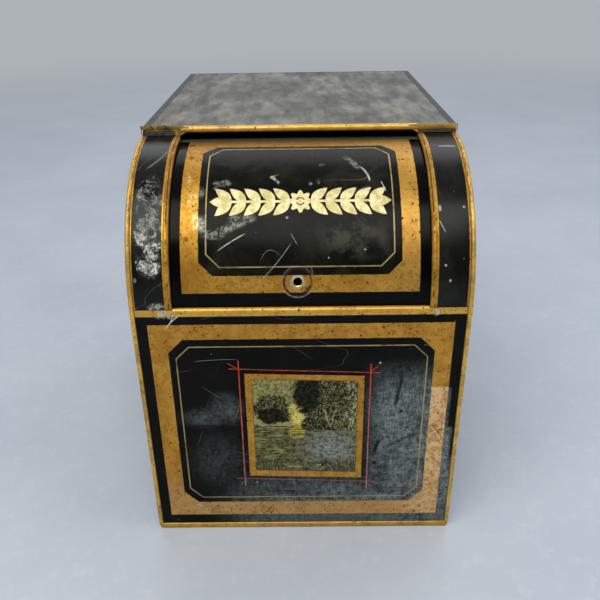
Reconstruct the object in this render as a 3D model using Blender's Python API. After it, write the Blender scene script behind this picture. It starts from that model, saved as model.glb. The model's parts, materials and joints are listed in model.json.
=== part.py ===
"""A grocer's roll-top spice bin in japanned tinplate, lid closed.

Its front faces -Y and it stands on z = 0. The origin is the middle of its footprint.
Left and right are as seen by someone facing the front.
"""

import math

import bmesh
import bpy

MM = 0.001

# Driving dimensions
WIDTH = 203 * MM
DEPTH = 308 * MM
HEIGHT = 262 * MM
SHEET = 0.5 * MM
GAP = 0.3 * MM
CORNER_RADIUS = 85 * MM
FASCIA_HEIGHT = 4.6 * MM
OPENING_WIDTH = 152.4 * MM
LID_RADIUS = 80.9 * MM
LID_TOP_ANGLE = 106
SEAM_WIDTH = 2.8 * MM
SEAM_DEPTH = 2 * MM
BOTTOM_BEAD_HEIGHT = 4.5 * MM
BOTTOM_BEAD_WIDTH = 3 * MM
BOTTOM_RECESS = 1.2 * MM
BACK_FLANGE = 6.5 * MM
FRONT_ROLL_RADIUS = 2 * MM
TOP_ROLL_RADIUS = 1.7 * MM
SHOULDER_ROLL_RADIUS = 1.8 * MM
LID_ROLL_RADIUS = 1.6 * MM
KNOB_HOLE_RADIUS = 2.65 * MM
KNOB_HOLE_ANGLE = 11.9
KNOB_HOLE_X = -1.6 * MM
RIVET_SHANK_RADIUS = 2 * MM
RIVET_HEAD_RADIUS = 4 * MM
RIVET_TAIL_RADIUS = 3.2 * MM
RIVET_HEAD_HEIGHT = 1.5 * MM
RIVET_TAIL_HEIGHT = 1 * MM
WASHER_RADIUS = 5.5 * MM
WASHER_THICKNESS = 1.2 * MM
BURR_RADIUS = 4.5 * MM
BURR_THICKNESS = 0.8 * MM
ARM_BOSS_RADIUS = 7 * MM

# Places that follow from them
HALF_WIDTH = WIDTH / 2
FRONT = -DEPTH / 2
BACK = DEPTH / 2
AXIS_Y = FRONT + CORNER_RADIUS
AXIS_Z = HEIGHT - FASCIA_HEIGHT - CORNER_RADIUS
OPENING_HALF = OPENING_WIDTH / 2
SEAM_INNER_X = HALF_WIDTH - SEAM_WIDTH
SKIN_EDGE_X = SEAM_INNER_X - GAP
SIDE_OUTER_X = HALF_WIDTH - SHEET - GAP
SIDE_INNER_X = SIDE_OUTER_X - SHEET
WASHER_OUTER_X = SIDE_INNER_X - GAP
WASHER_INNER_X = WASHER_OUTER_X - WASHER_THICKNESS
ARM_OUTER_X = WASHER_INNER_X - GAP
ARM_INNER_X = ARM_OUTER_X - SHEET
BURR_OUTER_X = ARM_INNER_X - GAP
BURR_INNER_X = BURR_OUTER_X - BURR_THICKNESS
RIVET_HEAD_X = SIDE_OUTER_X + GAP
RIVET_TAIL_X = BURR_INNER_X - GAP
PIVOT_HOLE_RADIUS = RIVET_SHANK_RADIUS + GAP
WALL_BASE_Z = BOTTOM_BEAD_HEIGHT + GAP
SHOULDER_RADIUS = CORNER_RADIUS - 0.8 * MM
SHOULDER_ROLL_ORBIT = SHOULDER_RADIUS - 1.1 * MM
FRONT_FACE_Y = FRONT + 0.8 * MM
FRONT_ROLL_Y = FRONT + 2.5 * MM
FRONT_ROLL_Z = AXIS_Z + 0.1 * MM
FRONT_TAB_TOP_Z = AXIS_Z + 1.6 * MM
FASCIA_Y = AXIS_Y + 0.2 * MM
FASCIA_BOTTOM_Z = AXIS_Z + SHOULDER_RADIUS + 0.35 * MM
TOP_ROLL_Y = AXIS_Y + TOP_ROLL_RADIUS
TOP_ROLL_Z = HEIGHT - TOP_ROLL_RADIUS - 0.05 * MM
GUSSET_WIDTH = 5.5 * MM
LID_ROLL_ORBIT = LID_RADIUS - LID_ROLL_RADIUS
LID_ROLL_ANGLE = 1.75
ARM_RADIUS = LID_RADIUS - SHEET - GAP
ARM_START_ANGLE = 3.6

# Colour, roughness and metallic value of each finish
BLACK_JAPAN = ((0.006, 0.007, 0.006), 0.28, 0.0)
GOLD_PAINT = ((0.50, 0.27, 0.055), 0.42, 0.45)
BARE_TIN = ((0.33, 0.31, 0.28), 0.45, 0.9)
DARK_IRON = ((0.09, 0.075, 0.06), 0.5, 0.85)

ROUND_STEPS = 24
CURL_STEPS = 12
CORNER_STEPS = 30


def clear_scene():
    for obj in list(bpy.data.objects):
        bpy.data.objects.remove(obj)


def around(centre_a, centre_b, radius, degrees):
    """The point at this angle on a circle, as a pair of coordinates."""
    turn = math.radians(degrees)
    return (centre_a + radius * math.cos(turn), centre_b + radius * math.sin(turn))


def arc(centre_a, centre_b, radius, start, end, steps):
    """Points along an arc from start to end degrees, both ends included."""
    return [
        around(centre_a, centre_b, radius, start + (end - start) * i / steps)
        for i in range(steps + 1)
    ]


def on_corner(radius, degrees):
    """(y, z) on a circle about the lid's axis: 0 degrees is straight ahead, 90 straight up."""
    return around(AXIS_Y, AXIS_Z, radius, 180 - degrees)


def curl(centre_a, centre_b, radius, start, end):
    """The outline of a rolled sheet edge: out along its outside, then back along its inside."""
    outside = arc(centre_a, centre_b, radius, start, end, CURL_STEPS)
    inside = arc(centre_a, centre_b, radius - SHEET, end, start, CURL_STEPS)
    return outside + inside


def new_object(name, mesh):
    obj = bpy.data.objects.new(name, mesh)
    bpy.context.scene.collection.objects.link(obj)
    return obj


def finish(obj, look):
    """Gives the object its own paint and shades its round faces smooth."""
    colour, roughness, metallic = look
    paint = bpy.data.materials.new(obj.name + "_finish")
    paint.use_nodes = True
    shader = paint.node_tree.nodes["Principled BSDF"]
    shader.inputs["Base Color"].default_value = (*colour, 1)
    shader.inputs["Roughness"].default_value = roughness
    shader.inputs["Metallic"].default_value = metallic
    obj.data.materials.append(paint)
    obj.data.shade_smooth()
    obj.data.set_sharp_from_angle(angle=math.radians(35))
    return obj


def mesh_of(bm, name):
    bmesh.ops.recalc_face_normals(bm, faces=bm.faces)
    mesh = bpy.data.meshes.new(name)
    bm.to_mesh(mesh)
    bm.free()
    return mesh


def extrude_face(bm, face):
    """Extrudes one face in place and returns the new corners, ready to be moved."""
    region = [face, *face.edges, *face.verts]
    made = bmesh.ops.extrude_face_region(bm, geom=region)["geom"]
    return [item for item in made if isinstance(item, bmesh.types.BMVert)]


def prism_along_x(name, outline_yz, x_start, x_end):
    """A (y, z) outline extruded from one x to another."""
    bm = bmesh.new()
    face = bm.faces.new([bm.verts.new((x_start, y, z)) for y, z in outline_yz])
    bmesh.ops.translate(bm, vec=(x_end - x_start, 0, 0), verts=extrude_face(bm, face))
    return new_object(name, mesh_of(bm, name))


def prism_along_y(name, outline_xz, y_start, y_end):
    """An (x, z) outline extruded from one y to another."""
    bm = bmesh.new()
    face = bm.faces.new([bm.verts.new((x, y_start, z)) for x, z in outline_xz])
    bmesh.ops.translate(bm, vec=(0, y_end - y_start, 0), verts=extrude_face(bm, face))
    return new_object(name, mesh_of(bm, name))


def spun_about_axis(outline_xr, start, end, steps, drop_to_z=None):
    """An (x, radius) outline swept about the lid's axis, with a straight leg down if asked."""
    bm = bmesh.new()
    corners = [(x, *on_corner(radius, start)) for x, radius in outline_xr]
    face = bm.faces.new([bm.verts.new(corner) for corner in corners])
    bmesh.ops.spin(
        bm,
        geom=[face, *face.edges, *face.verts],
        cent=(0, AXIS_Y, AXIS_Z),
        axis=(-1, 0, 0),
        angle=math.radians(end - start),
        steps=steps,
    )
    if drop_to_z is not None:
        for corner in extrude_face(bm, face):
            corner.co.z = drop_to_z
    return bm


def turned(name, profile_xr):
    """A solid of revolution about the lid's axis, from an (x, radius) profile closed by the axis."""
    bm = bmesh.new()
    chain = [bm.verts.new((x, AXIS_Y, AXIS_Z + radius)) for x, radius in profile_xr]
    edges = [bm.edges.new(pair) for pair in zip(chain, chain[1:])]
    bmesh.ops.spin(
        bm,
        geom=[*chain, *edges],
        cent=(0, AXIS_Y, AXIS_Z),
        axis=(1, 0, 0),
        angle=math.tau,
        steps=ROUND_STEPS,
    )
    bmesh.ops.remove_doubles(bm, verts=bm.verts, dist=0.001 * MM)
    return new_object(name, mesh_of(bm, name))


def helper(obj):
    """Keeps a cutter or an operand out of the finished model."""
    obj.hide_render = True
    obj.display_type = "WIRE"
    return obj


def combine(obj, other, operation):
    step = obj.modifiers.new(operation.lower() + "_" + other.name, "BOOLEAN")
    step.operation = operation
    step.solver = "EXACT"
    step.object = helper(other)


def cylinder_along_x(name, radius, x_start, x_end, y=AXIS_Y, z=AXIS_Z):
    outline = arc(y, z, radius, 0, 360, ROUND_STEPS)[:-1]
    return prism_along_x(name, outline, x_start, x_end)


def arc_wire(name, radius, x, orbit, start, end):
    """A round wire bent about the lid's axis."""
    outline = arc(x, orbit, radius, 0, 360, 10)[:-1]
    bm = spun_about_axis(outline, start, end, CORNER_STEPS)
    return new_object(name, mesh_of(bm, name))


def bottom_panel():
    """The floor sheet with its folded seam bead all round, on which the bin stands."""
    bm = bmesh.new()
    bmesh.ops.create_cube(bm, size=1)
    bmesh.ops.scale(bm, vec=(WIDTH, DEPTH, BOTTOM_BEAD_HEIGHT), verts=bm.verts)
    bmesh.ops.translate(bm, vec=(0, 0, BOTTOM_BEAD_HEIGHT / 2), verts=bm.verts)
    bmesh.ops.bevel(
        bm, geom=bm.edges[:], offset=0.9 * MM, segments=2, profile=0.5, affect="EDGES"
    )
    levels = {1: BOTTOM_RECESS + SHEET, -1: BOTTOM_RECESS}
    for side, level in levels.items():
        face = max(bm.faces, key=lambda f: side * f.normal.z * f.calc_area())
        bmesh.ops.inset_region(bm, faces=[face], thickness=BOTTOM_BEAD_WIDTH - 0.9 * MM)
        for corner in extrude_face(bm, face):
            corner.co.z = level
    return finish(new_object("bottom_panel", mesh_of(bm, "bottom_panel")), BLACK_JAPAN)


def front_panel():
    """A flat sheet whose upper edge is rolled outward over a wire across the opening."""
    notch_x = OPENING_HALF
    notch_z = FRONT_ROLL_Z - 1.1 * MM
    outline = [
        (-SKIN_EDGE_X, WALL_BASE_Z),
        (SKIN_EDGE_X, WALL_BASE_Z),
        (SKIN_EDGE_X, FRONT_TAB_TOP_Z),
        (notch_x, FRONT_TAB_TOP_Z),
        (notch_x, notch_z),
        (-notch_x, notch_z),
        (-notch_x, FRONT_TAB_TOP_Z),
        (-SKIN_EDGE_X, FRONT_TAB_TOP_Z),
    ]
    panel = prism_along_y("front_panel", outline, FRONT_FACE_Y, FRONT_FACE_Y + SHEET)
    roll_outline = curl(FRONT_ROLL_Y, FRONT_ROLL_Z, FRONT_ROLL_RADIUS, 225, -60)
    roll_end = OPENING_HALF - GAP
    roll = prism_along_x("front_roll", roll_outline, -roll_end, roll_end)
    combine(panel, roll, "UNION")
    return finish(panel, BLACK_JAPAN)


def straight_wire(name, radius, half_length, y, z):
    wire = cylinder_along_x(name, radius, -half_length, half_length, y, z)
    return finish(wire, DARK_IRON)


def back_panel():
    """The back sheet, its side edges folded forward over the side panels."""
    outer_y = BACK - SHEET - GAP
    flange_y = outer_y - BACK_FLANGE
    flange_top = FASCIA_BOTTOM_Z - GAP
    sheet_top = HEIGHT - SHEET - GAP
    inner_x = SIDE_OUTER_X
    bm = bmesh.new()
    corners = {}
    for side in (-1, 1):
        corners[side] = [
            bm.verts.new((side * HALF_WIDTH, outer_y, WALL_BASE_Z)),
            bm.verts.new((side * HALF_WIDTH, outer_y, flange_top)),
            bm.verts.new((side * inner_x, outer_y, flange_top)),
            bm.verts.new((side * inner_x, outer_y, sheet_top)),
        ]
        lower = bm.verts.new((side * HALF_WIDTH, flange_y, WALL_BASE_Z))
        upper = bm.verts.new((side * HALF_WIDTH, flange_y, flange_top))
        bm.faces.new((corners[side][0], lower, upper, corners[side][1]))
    bm.faces.new(corners[1] + corners[-1][::-1])
    return finish(folded(bm, "back_panel", (0, 1, 0)), BLACK_JAPAN)


def folded(bm, name, outward):
    """Thickens a folded sheet inward. The largest face looks outward, and the rest follow it."""
    bmesh.ops.recalc_face_normals(bm, faces=bm.faces)
    largest = max(bm.faces, key=lambda f: f.calc_area())
    if sum(a * b for a, b in zip(largest.normal, outward)) < 0:
        bmesh.ops.reverse_faces(bm, faces=bm.faces)
    mesh = bpy.data.meshes.new(name)
    bm.to_mesh(mesh)
    bm.free()
    obj = new_object(name, mesh)
    thicken = obj.modifiers.new("sheet", "SOLIDIFY")
    thicken.thickness = SHEET
    thicken.offset = -1
    thicken.use_even_offset = True
    return obj


def side_panel(name, side):
    """A side wall with its quarter-round front corner and the pivot hole at that curve's centre."""
    seam_inner_radius = CORNER_RADIUS - SEAM_DEPTH - GAP
    behind_fascia_y = FASCIA_Y + SHEET + GAP
    top_z = HEIGHT - SHEET - GAP
    back_y = BACK - 2 * (SHEET + GAP)
    curve = [on_corner(seam_inner_radius, 90 * i / CORNER_STEPS) for i in range(CORNER_STEPS + 1)]
    outline = [
        (back_y, WALL_BASE_Z),
        (AXIS_Y - seam_inner_radius, WALL_BASE_Z),
        *curve,
        (behind_fascia_y, AXIS_Z + seam_inner_radius),
        (behind_fascia_y, top_z),
        (back_y, top_z),
    ]
    panel = prism_along_x(name, outline, side * SIDE_INNER_X, side * SIDE_OUTER_X)
    hole = cylinder_along_x(
        name + "_hole",
        PIVOT_HOLE_RADIUS,
        side * (SIDE_INNER_X - MM),
        side * (SIDE_OUTER_X + MM),
    )
    combine(panel, hole, "DIFFERENCE")
    return finish(panel, BLACK_JAPAN)


def top_panel():
    """The top sheet: edges turned down at the sides and back, its front edge rolled over a wire."""
    gusset_x = OPENING_HALF - GUSSET_WIDTH
    setback_y = TOP_ROLL_Y - 0.3 * MM
    gusset_z = TOP_ROLL_Z
    bm = bmesh.new()
    rows = {}
    for side in (-1, 1):
        front = bm.verts.new((side * HALF_WIDTH, FASCIA_Y, HEIGHT))
        back = bm.verts.new((side * HALF_WIDTH, BACK, HEIGHT))
        back_low = bm.verts.new((side * HALF_WIDTH, BACK, FASCIA_BOTTOM_Z))
        fascia_low = bm.verts.new((side * HALF_WIDTH, FASCIA_Y, FASCIA_BOTTOM_Z))
        gusset_low = bm.verts.new((side * OPENING_HALF, FASCIA_Y, FASCIA_BOTTOM_Z))
        gusset_tip = bm.verts.new((side * gusset_x, FASCIA_Y, gusset_z))
        gusset_top = bm.verts.new((side * gusset_x, FASCIA_Y, HEIGHT))
        setback = bm.verts.new((side * gusset_x, setback_y, HEIGHT))
        bm.faces.new((front, back, back_low, fascia_low))
        bm.faces.new((front, fascia_low, gusset_low, gusset_tip, gusset_top))
        rows[side] = [setback, gusset_top, front, back]
        rows[side, "low"] = back_low
    bm.faces.new(rows[1] + rows[-1][::-1])
    bm.faces.new((rows[1][3], rows[1, "low"], rows[-1, "low"], rows[-1][3]))
    panel = folded(bm, "top_panel", (0, 0, 1))
    roll_outline = curl(TOP_ROLL_Y, TOP_ROLL_Z, TOP_ROLL_RADIUS, 85, 380)
    roll_end = OPENING_HALF - GAP
    roll = prism_along_x("top_roll", roll_outline, -roll_end, roll_end)
    combine(panel, roll, "UNION")
    return finish(panel, BLACK_JAPAN)


def shoulder(name, side):
    """A fixed curved strip beside the opening, its inner edge rolled over a wire."""
    roll_x = OPENING_HALF + SHOULDER_ROLL_RADIUS
    roll_r = SHOULDER_ROLL_ORBIT
    outer_join = math.degrees(math.asin((SHOULDER_RADIUS - roll_r) / SHOULDER_ROLL_RADIUS))
    inner_rise = (SHOULDER_RADIUS - SHEET - roll_r) / (SHOULDER_ROLL_RADIUS - SHEET)
    inner_join = math.degrees(math.asin(inner_rise))
    outline = [
        (SKIN_EDGE_X, SHOULDER_RADIUS),
        *arc(roll_x, roll_r, SHOULDER_ROLL_RADIUS, outer_join, 335, CURL_STEPS),
        *arc(roll_x, roll_r, SHOULDER_ROLL_RADIUS - SHEET, 335, inner_join, CURL_STEPS),
        (SKIN_EDGE_X, SHOULDER_RADIUS - SHEET),
    ]
    start = math.degrees(math.asin((FRONT_TAB_TOP_Z + GAP - AXIS_Z) / SHOULDER_RADIUS)) + 0.15
    bm = spun_about_axis([(side * x, r) for x, r in outline], start, 89.7, CORNER_STEPS)
    return finish(new_object(name, mesh_of(bm, name)), BLACK_JAPAN)


def shoulder_wire(name, side):
    orbit = SHOULDER_ROLL_ORBIT
    x = side * (OPENING_HALF + SHOULDER_ROLL_RADIUS)
    return finish(arc_wire(name, 1 * MM, x, orbit, 3, 88), DARK_IRON)


def rim_seam(name, side):
    """The folded seam down one side of the front: round over the corner, then straight down."""
    bevel = 0.7 * MM
    inner_r = CORNER_RADIUS - SEAM_DEPTH
    outline = [
        (SEAM_INNER_X, inner_r),
        *arc(SEAM_INNER_X + bevel, CORNER_RADIUS - bevel, bevel, 180, 90, 3),
        *arc(HALF_WIDTH - bevel, CORNER_RADIUS - bevel, bevel, 90, 0, 3),
        (HALF_WIDTH, inner_r),
    ]
    bm = spun_about_axis([(side * x, r) for x, r in outline], 0, 89.8, CORNER_STEPS, WALL_BASE_Z)
    return finish(new_object(name, mesh_of(bm, name)), GOLD_PAINT)


def pivot_rivet(name, side):
    """A domed head outside the wall, the shank through every layer, and the peened tail inside."""
    dome = [
        (RIVET_HEAD_X + RIVET_HEAD_HEIGHT * math.sin(turn), RIVET_HEAD_RADIUS * math.cos(turn))
        for turn in (math.radians(90 - 15 * i) for i in range(6))
    ]
    profile = [
        *dome,
        (RIVET_HEAD_X, RIVET_HEAD_RADIUS),
        (RIVET_HEAD_X, RIVET_SHANK_RADIUS),
        (RIVET_TAIL_X, RIVET_SHANK_RADIUS),
        (RIVET_TAIL_X, RIVET_TAIL_RADIUS),
        (RIVET_TAIL_X - 0.6 * RIVET_TAIL_HEIGHT, 0.85 * RIVET_TAIL_RADIUS),
        (RIVET_TAIL_X - RIVET_TAIL_HEIGHT, 0.5 * RIVET_TAIL_RADIUS),
        (RIVET_TAIL_X - RIVET_TAIL_HEIGHT, 0),
    ]
    return finish(turned(name, [(side * x, radius) for x, radius in profile]), DARK_IRON)


def ring(name, side, outer_radius, inner_x, outer_x, look):
    """A flat washer on the pivot."""
    body = cylinder_along_x(name, outer_radius, side * inner_x, side * outer_x)
    hole = cylinder_along_x(
        name + "_hole", PIVOT_HOLE_RADIUS, side * (inner_x - MM), side * (outer_x + MM)
    )
    combine(body, hole, "DIFFERENCE")
    return finish(body, look)


def on_lid(obj, pivot):
    """Hangs a lid piece on the pivot empty without moving it."""
    obj.parent = pivot
    obj.matrix_parent_inverse = pivot.matrix_world.inverted()


def lid_skin():
    """The curved lid sheet, its lower edge rolled inward over a wire, with the knob's screw hole."""
    roll_y, roll_z = on_corner(LID_ROLL_ORBIT, LID_ROLL_ANGLE)
    span = LID_TOP_ANGLE - LID_ROLL_ANGLE
    steps = CORNER_STEPS + 6
    angles = [LID_TOP_ANGLE - span * i / steps for i in range(steps)]
    turn = 180 - LID_ROLL_ANGLE
    outline = [
        *[on_corner(LID_RADIUS, angle) for angle in angles],
        *curl(roll_y, roll_z, LID_ROLL_RADIUS, turn, turn + 290),
        *[on_corner(LID_RADIUS - SHEET, angle) for angle in reversed(angles)],
    ]
    skin = prism_along_x("lid_skin", outline, -SKIN_EDGE_X, SKIN_EDGE_X)
    bpy.ops.mesh.primitive_cylinder_add(
        vertices=ROUND_STEPS,
        radius=KNOB_HOLE_RADIUS,
        depth=10 * MM,
        location=(KNOB_HOLE_X, *on_corner(LID_RADIUS, KNOB_HOLE_ANGLE)),
        rotation=(math.radians(90 - KNOB_HOLE_ANGLE), 0, 0),
    )
    drill = bpy.context.object
    drill.name = "knob_hole"
    combine(skin, drill, "DIFFERENCE")
    return finish(skin, BLACK_JAPAN)


def lid_arm(name, side):
    """A flat quarter-disc end plate that carries the lid skin from the pivot."""
    rim = [
        on_corner(ARM_RADIUS, ARM_START_ANGLE + (LID_TOP_ANGLE - ARM_START_ANGLE) * i / CORNER_STEPS)
        for i in range(CORNER_STEPS + 1)
    ]
    boss = [on_corner(ARM_BOSS_RADIUS, LID_TOP_ANGLE + 90 + 18.75 * i) for i in range(5)]
    arm = prism_along_x(name, rim + boss, side * ARM_INNER_X, side * ARM_OUTER_X)
    hole = cylinder_along_x(
        name + "_hole", PIVOT_HOLE_RADIUS, side * (ARM_INNER_X - MM), side * (ARM_OUTER_X + MM)
    )
    combine(arm, hole, "DIFFERENCE")
    return finish(arm, BARE_TIN)


def build_case():
    bottom_panel()
    front_panel()
    straight_wire("front_edge_wire", 1.2 * MM, OPENING_HALF - MM, FRONT_ROLL_Y, FRONT_ROLL_Z)
    back_panel()
    top_panel()
    straight_wire("top_edge_wire", 0.9 * MM, OPENING_HALF - MM, TOP_ROLL_Y, TOP_ROLL_Z)
    for hand, side in (("left", -1), ("right", 1)):
        side_panel(hand + "_side_panel", side)
        shoulder(hand + "_shoulder", side)
        shoulder_wire(hand + "_shoulder_wire", side)
        rim_seam(hand + "_rim_seam", side)
        pivot_rivet(hand + "_pivot_rivet", side)
        ring(hand + "_pivot_washer", side, WASHER_RADIUS, WASHER_INNER_X, WASHER_OUTER_X, BARE_TIN)
        ring(hand + "_rivet_burr", side, BURR_RADIUS, BURR_INNER_X, BURR_OUTER_X, DARK_IRON)


def build_lid():
    pivot = bpy.data.objects.new("lid_pivot", None)
    bpy.context.scene.collection.objects.link(pivot)
    pivot.location = (0, AXIS_Y, AXIS_Z)
    bpy.context.view_layer.update()
    roll_place = on_corner(LID_ROLL_ORBIT, LID_ROLL_ANGLE)
    pieces = [
        lid_skin(),
        lid_arm("lid_left_arm", -1),
        lid_arm("lid_right_arm", 1),
        straight_wire("lid_edge_wire", 0.8 * MM, SKIN_EDGE_X - MM, *roll_place),
    ]
    for piece in pieces:
        on_lid(piece, pivot)


clear_scene()
build_case()
build_lid()
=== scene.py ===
"""A grocer's roll-top spice bin in japanned and gilded tinplate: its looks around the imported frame.

All lengths are in metres in the row frame. The front faces -Y, and left and right are as seen
from the front. Material fields work in millimetres, because paint detail is read off in them.
"""

import json
import math

import bmesh
import bpy
from mathutils import Matrix, Vector, noise


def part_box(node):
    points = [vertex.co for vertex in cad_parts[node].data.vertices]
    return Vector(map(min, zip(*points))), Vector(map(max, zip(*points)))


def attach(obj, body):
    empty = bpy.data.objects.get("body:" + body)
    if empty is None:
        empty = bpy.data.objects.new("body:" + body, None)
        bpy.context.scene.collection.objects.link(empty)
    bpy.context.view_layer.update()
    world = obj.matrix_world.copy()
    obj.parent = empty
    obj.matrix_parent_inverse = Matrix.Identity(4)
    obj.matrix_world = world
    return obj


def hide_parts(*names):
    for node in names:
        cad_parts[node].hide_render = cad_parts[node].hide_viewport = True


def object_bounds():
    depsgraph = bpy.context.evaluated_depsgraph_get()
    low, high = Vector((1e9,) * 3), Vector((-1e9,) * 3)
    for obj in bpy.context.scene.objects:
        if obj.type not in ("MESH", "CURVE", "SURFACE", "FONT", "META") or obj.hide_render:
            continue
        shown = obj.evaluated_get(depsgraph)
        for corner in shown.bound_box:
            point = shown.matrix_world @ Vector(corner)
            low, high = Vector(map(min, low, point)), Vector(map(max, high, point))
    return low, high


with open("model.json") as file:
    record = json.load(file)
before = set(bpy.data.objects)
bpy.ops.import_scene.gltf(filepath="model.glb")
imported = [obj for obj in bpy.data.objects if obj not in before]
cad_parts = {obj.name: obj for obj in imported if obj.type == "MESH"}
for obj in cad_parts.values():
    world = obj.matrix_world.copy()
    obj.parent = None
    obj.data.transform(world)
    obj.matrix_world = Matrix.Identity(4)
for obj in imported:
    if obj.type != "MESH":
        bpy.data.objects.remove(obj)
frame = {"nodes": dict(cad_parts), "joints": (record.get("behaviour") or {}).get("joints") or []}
cad_low, cad_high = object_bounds()

MM = 0.001
SHEET = 0.5 * MM
RIM_SHEET = 0.7 * MM
FASCIA_SHEET = 0.3 * MM
GAP = 0.3 * MM
BEND_RADIUS = 0.8 * MM
FRONT_STEP = 3.6 * MM

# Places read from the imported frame
HALF_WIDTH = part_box("top_panel")[1].x
FRONT = cad_low.y
BACK = cad_high.y
TOP = cad_high.z
_, AXIS_Y, AXIS_Z = frame["joints"][0]["pos_m"]
CORNER_RADIUS = AXIS_Y - FRONT
SKIN_EDGE_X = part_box("lid_skin")[1].x
LID_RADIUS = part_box("lid_skin")[1].z - AXIS_Z
OPENING_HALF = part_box("right_shoulder")[0].x
WALL_BASE_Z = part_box("back_panel")[0].z
SEAM_INNER_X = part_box("right_rim_seam")[0].x
SIDE_OUTER_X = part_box("right_side_panel")[1].x
SIDE_FRONT_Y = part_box("right_side_panel")[0].y
SIDE_BACK_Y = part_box("right_side_panel")[1].y
SIDE_TOP_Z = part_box("right_side_panel")[1].z
SHEET_BACK_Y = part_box("back_panel")[1].y
BACK_FLANGE_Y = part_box("back_panel")[0].y
SHEET_TOP_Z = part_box("back_panel")[1].z
FASCIA_Y = AXIS_Y + 0.2 * MM
FASCIA_BOTTOM_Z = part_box("top_panel")[0].z
BOTTOM_BEAD_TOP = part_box("bottom_panel")[1].z


def middle(node):
    low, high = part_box(node)
    return (low + high) / 2


def handed(side, piece):
    """A piece's name: side is -1 for the left one and 1 for the right one."""
    return ("left_" if side < 0 else "right_") + piece


FRONT_WIRE = middle("front_edge_wire")
TOP_WIRE = middle("top_edge_wire")
LID_WIRE = middle("lid_edge_wire")
SHOULDER_ROLL_X = middle("right_shoulder_wire").x
SHOULDER_WIRE_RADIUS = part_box("right_shoulder_wire")[1].x - SHOULDER_ROLL_X
SHOULDER_ROLL_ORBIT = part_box("right_shoulder_wire")[1].z - AXIS_Z - SHOULDER_WIRE_RADIUS

# Sizes of the folded and rolled edges, close to those in the part; the top's roll stands a
# little prouder than its CAD solid, as in the photo
SEAM_STANDS_PROUD = 0.8 * MM
FRONT_FACE_Y = FRONT + SEAM_STANDS_PROUD
SHOULDER_RADIUS = CORNER_RADIUS - SEAM_STANDS_PROUD
FRONT_ROLL = 2 * MM
TOP_ROLL = 2.1 * MM
TOP_ROLL_RISE = 0.3 * MM
SHOULDER_ROLL = 1.8 * MM
LID_ROLL = 1.6 * MM
LID_ROLL_ANGLE = 1.75
LID_TOP_ANGLE = 106
TAB_TOP_Z = AXIS_Z + 1.6 * MM
SHOULDER_GILT_MM = (80.2, 97.75)
SHOULDER_CRACK_MM = 77.4
GUSSET_WIDTH = 5.5 * MM
FASCIA_SEAM_LEFT = 3.0 * MM
FASCIA_SEAM_RIGHT = 1.9 * MM
FASCIA_CORNER = 3.2 * MM
KNOB_X = -1.6 * MM
KNOB_ANGLE = 11.9
KNOB_HOLE = 2.65 * MM
KNOB_CELL = KNOB_HOLE / 4
KNOB_CELLS = 20

# Camera
CAMERA_PLACE = (0.0015, -0.5056, 0.3599)
CAMERA_YAW = -0.574
CAMERA_PITCH = 27.236
CAMERA_ROLL = -0.881
CAMERA_LENS = 40.564
CAMERA_SHIFT = (0.00475, 0.0037)

# The pale air that the camera sees, and where the floor fades into it
AIR_COLOUR = (0.88, 0.94, 1.0)
AIR_STRENGTH = 0.46
FLOOR_FADE_START = 0.9
FLOOR_FADE_END = 2.6


# ---------------------------------------------------------------- shader fields


class Field:
    """A number, vector or colour made by a material's nodes. Arithmetic adds Math nodes."""

    def __init__(self, paint, socket):
        self.paint = paint
        self.socket = socket

    def __add__(self, other):
        return self.paint.math("ADD", self, other)

    def __radd__(self, other):
        return self.paint.math("ADD", other, self)

    def __sub__(self, other):
        return self.paint.math("SUBTRACT", self, other)

    def __rsub__(self, other):
        return self.paint.math("SUBTRACT", other, self)

    def __mul__(self, other):
        return self.paint.math("MULTIPLY", self, other)

    def __rmul__(self, other):
        return self.paint.math("MULTIPLY", other, self)

    def __truediv__(self, other):
        return self.paint.math("DIVIDE", self, other)

    def __abs__(self):
        return self.paint.math("ABSOLUTE", self)

    def ramp(self, low, high):
        """0 at low and 1 at high, eased. High may be the lower number."""
        made = self.paint.node("MapRange", interpolation_type="SMOOTHSTEP")
        for name, item in (("Value", self), ("From Min", low), ("From Max", high)):
            self.paint.put(made.inputs[name], item)
        return Field(self.paint, made.outputs["Result"])

    def blend(self, other, share):
        """This colour with another mixed in by share."""
        return self.paint.blend(self, other, share)


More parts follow.
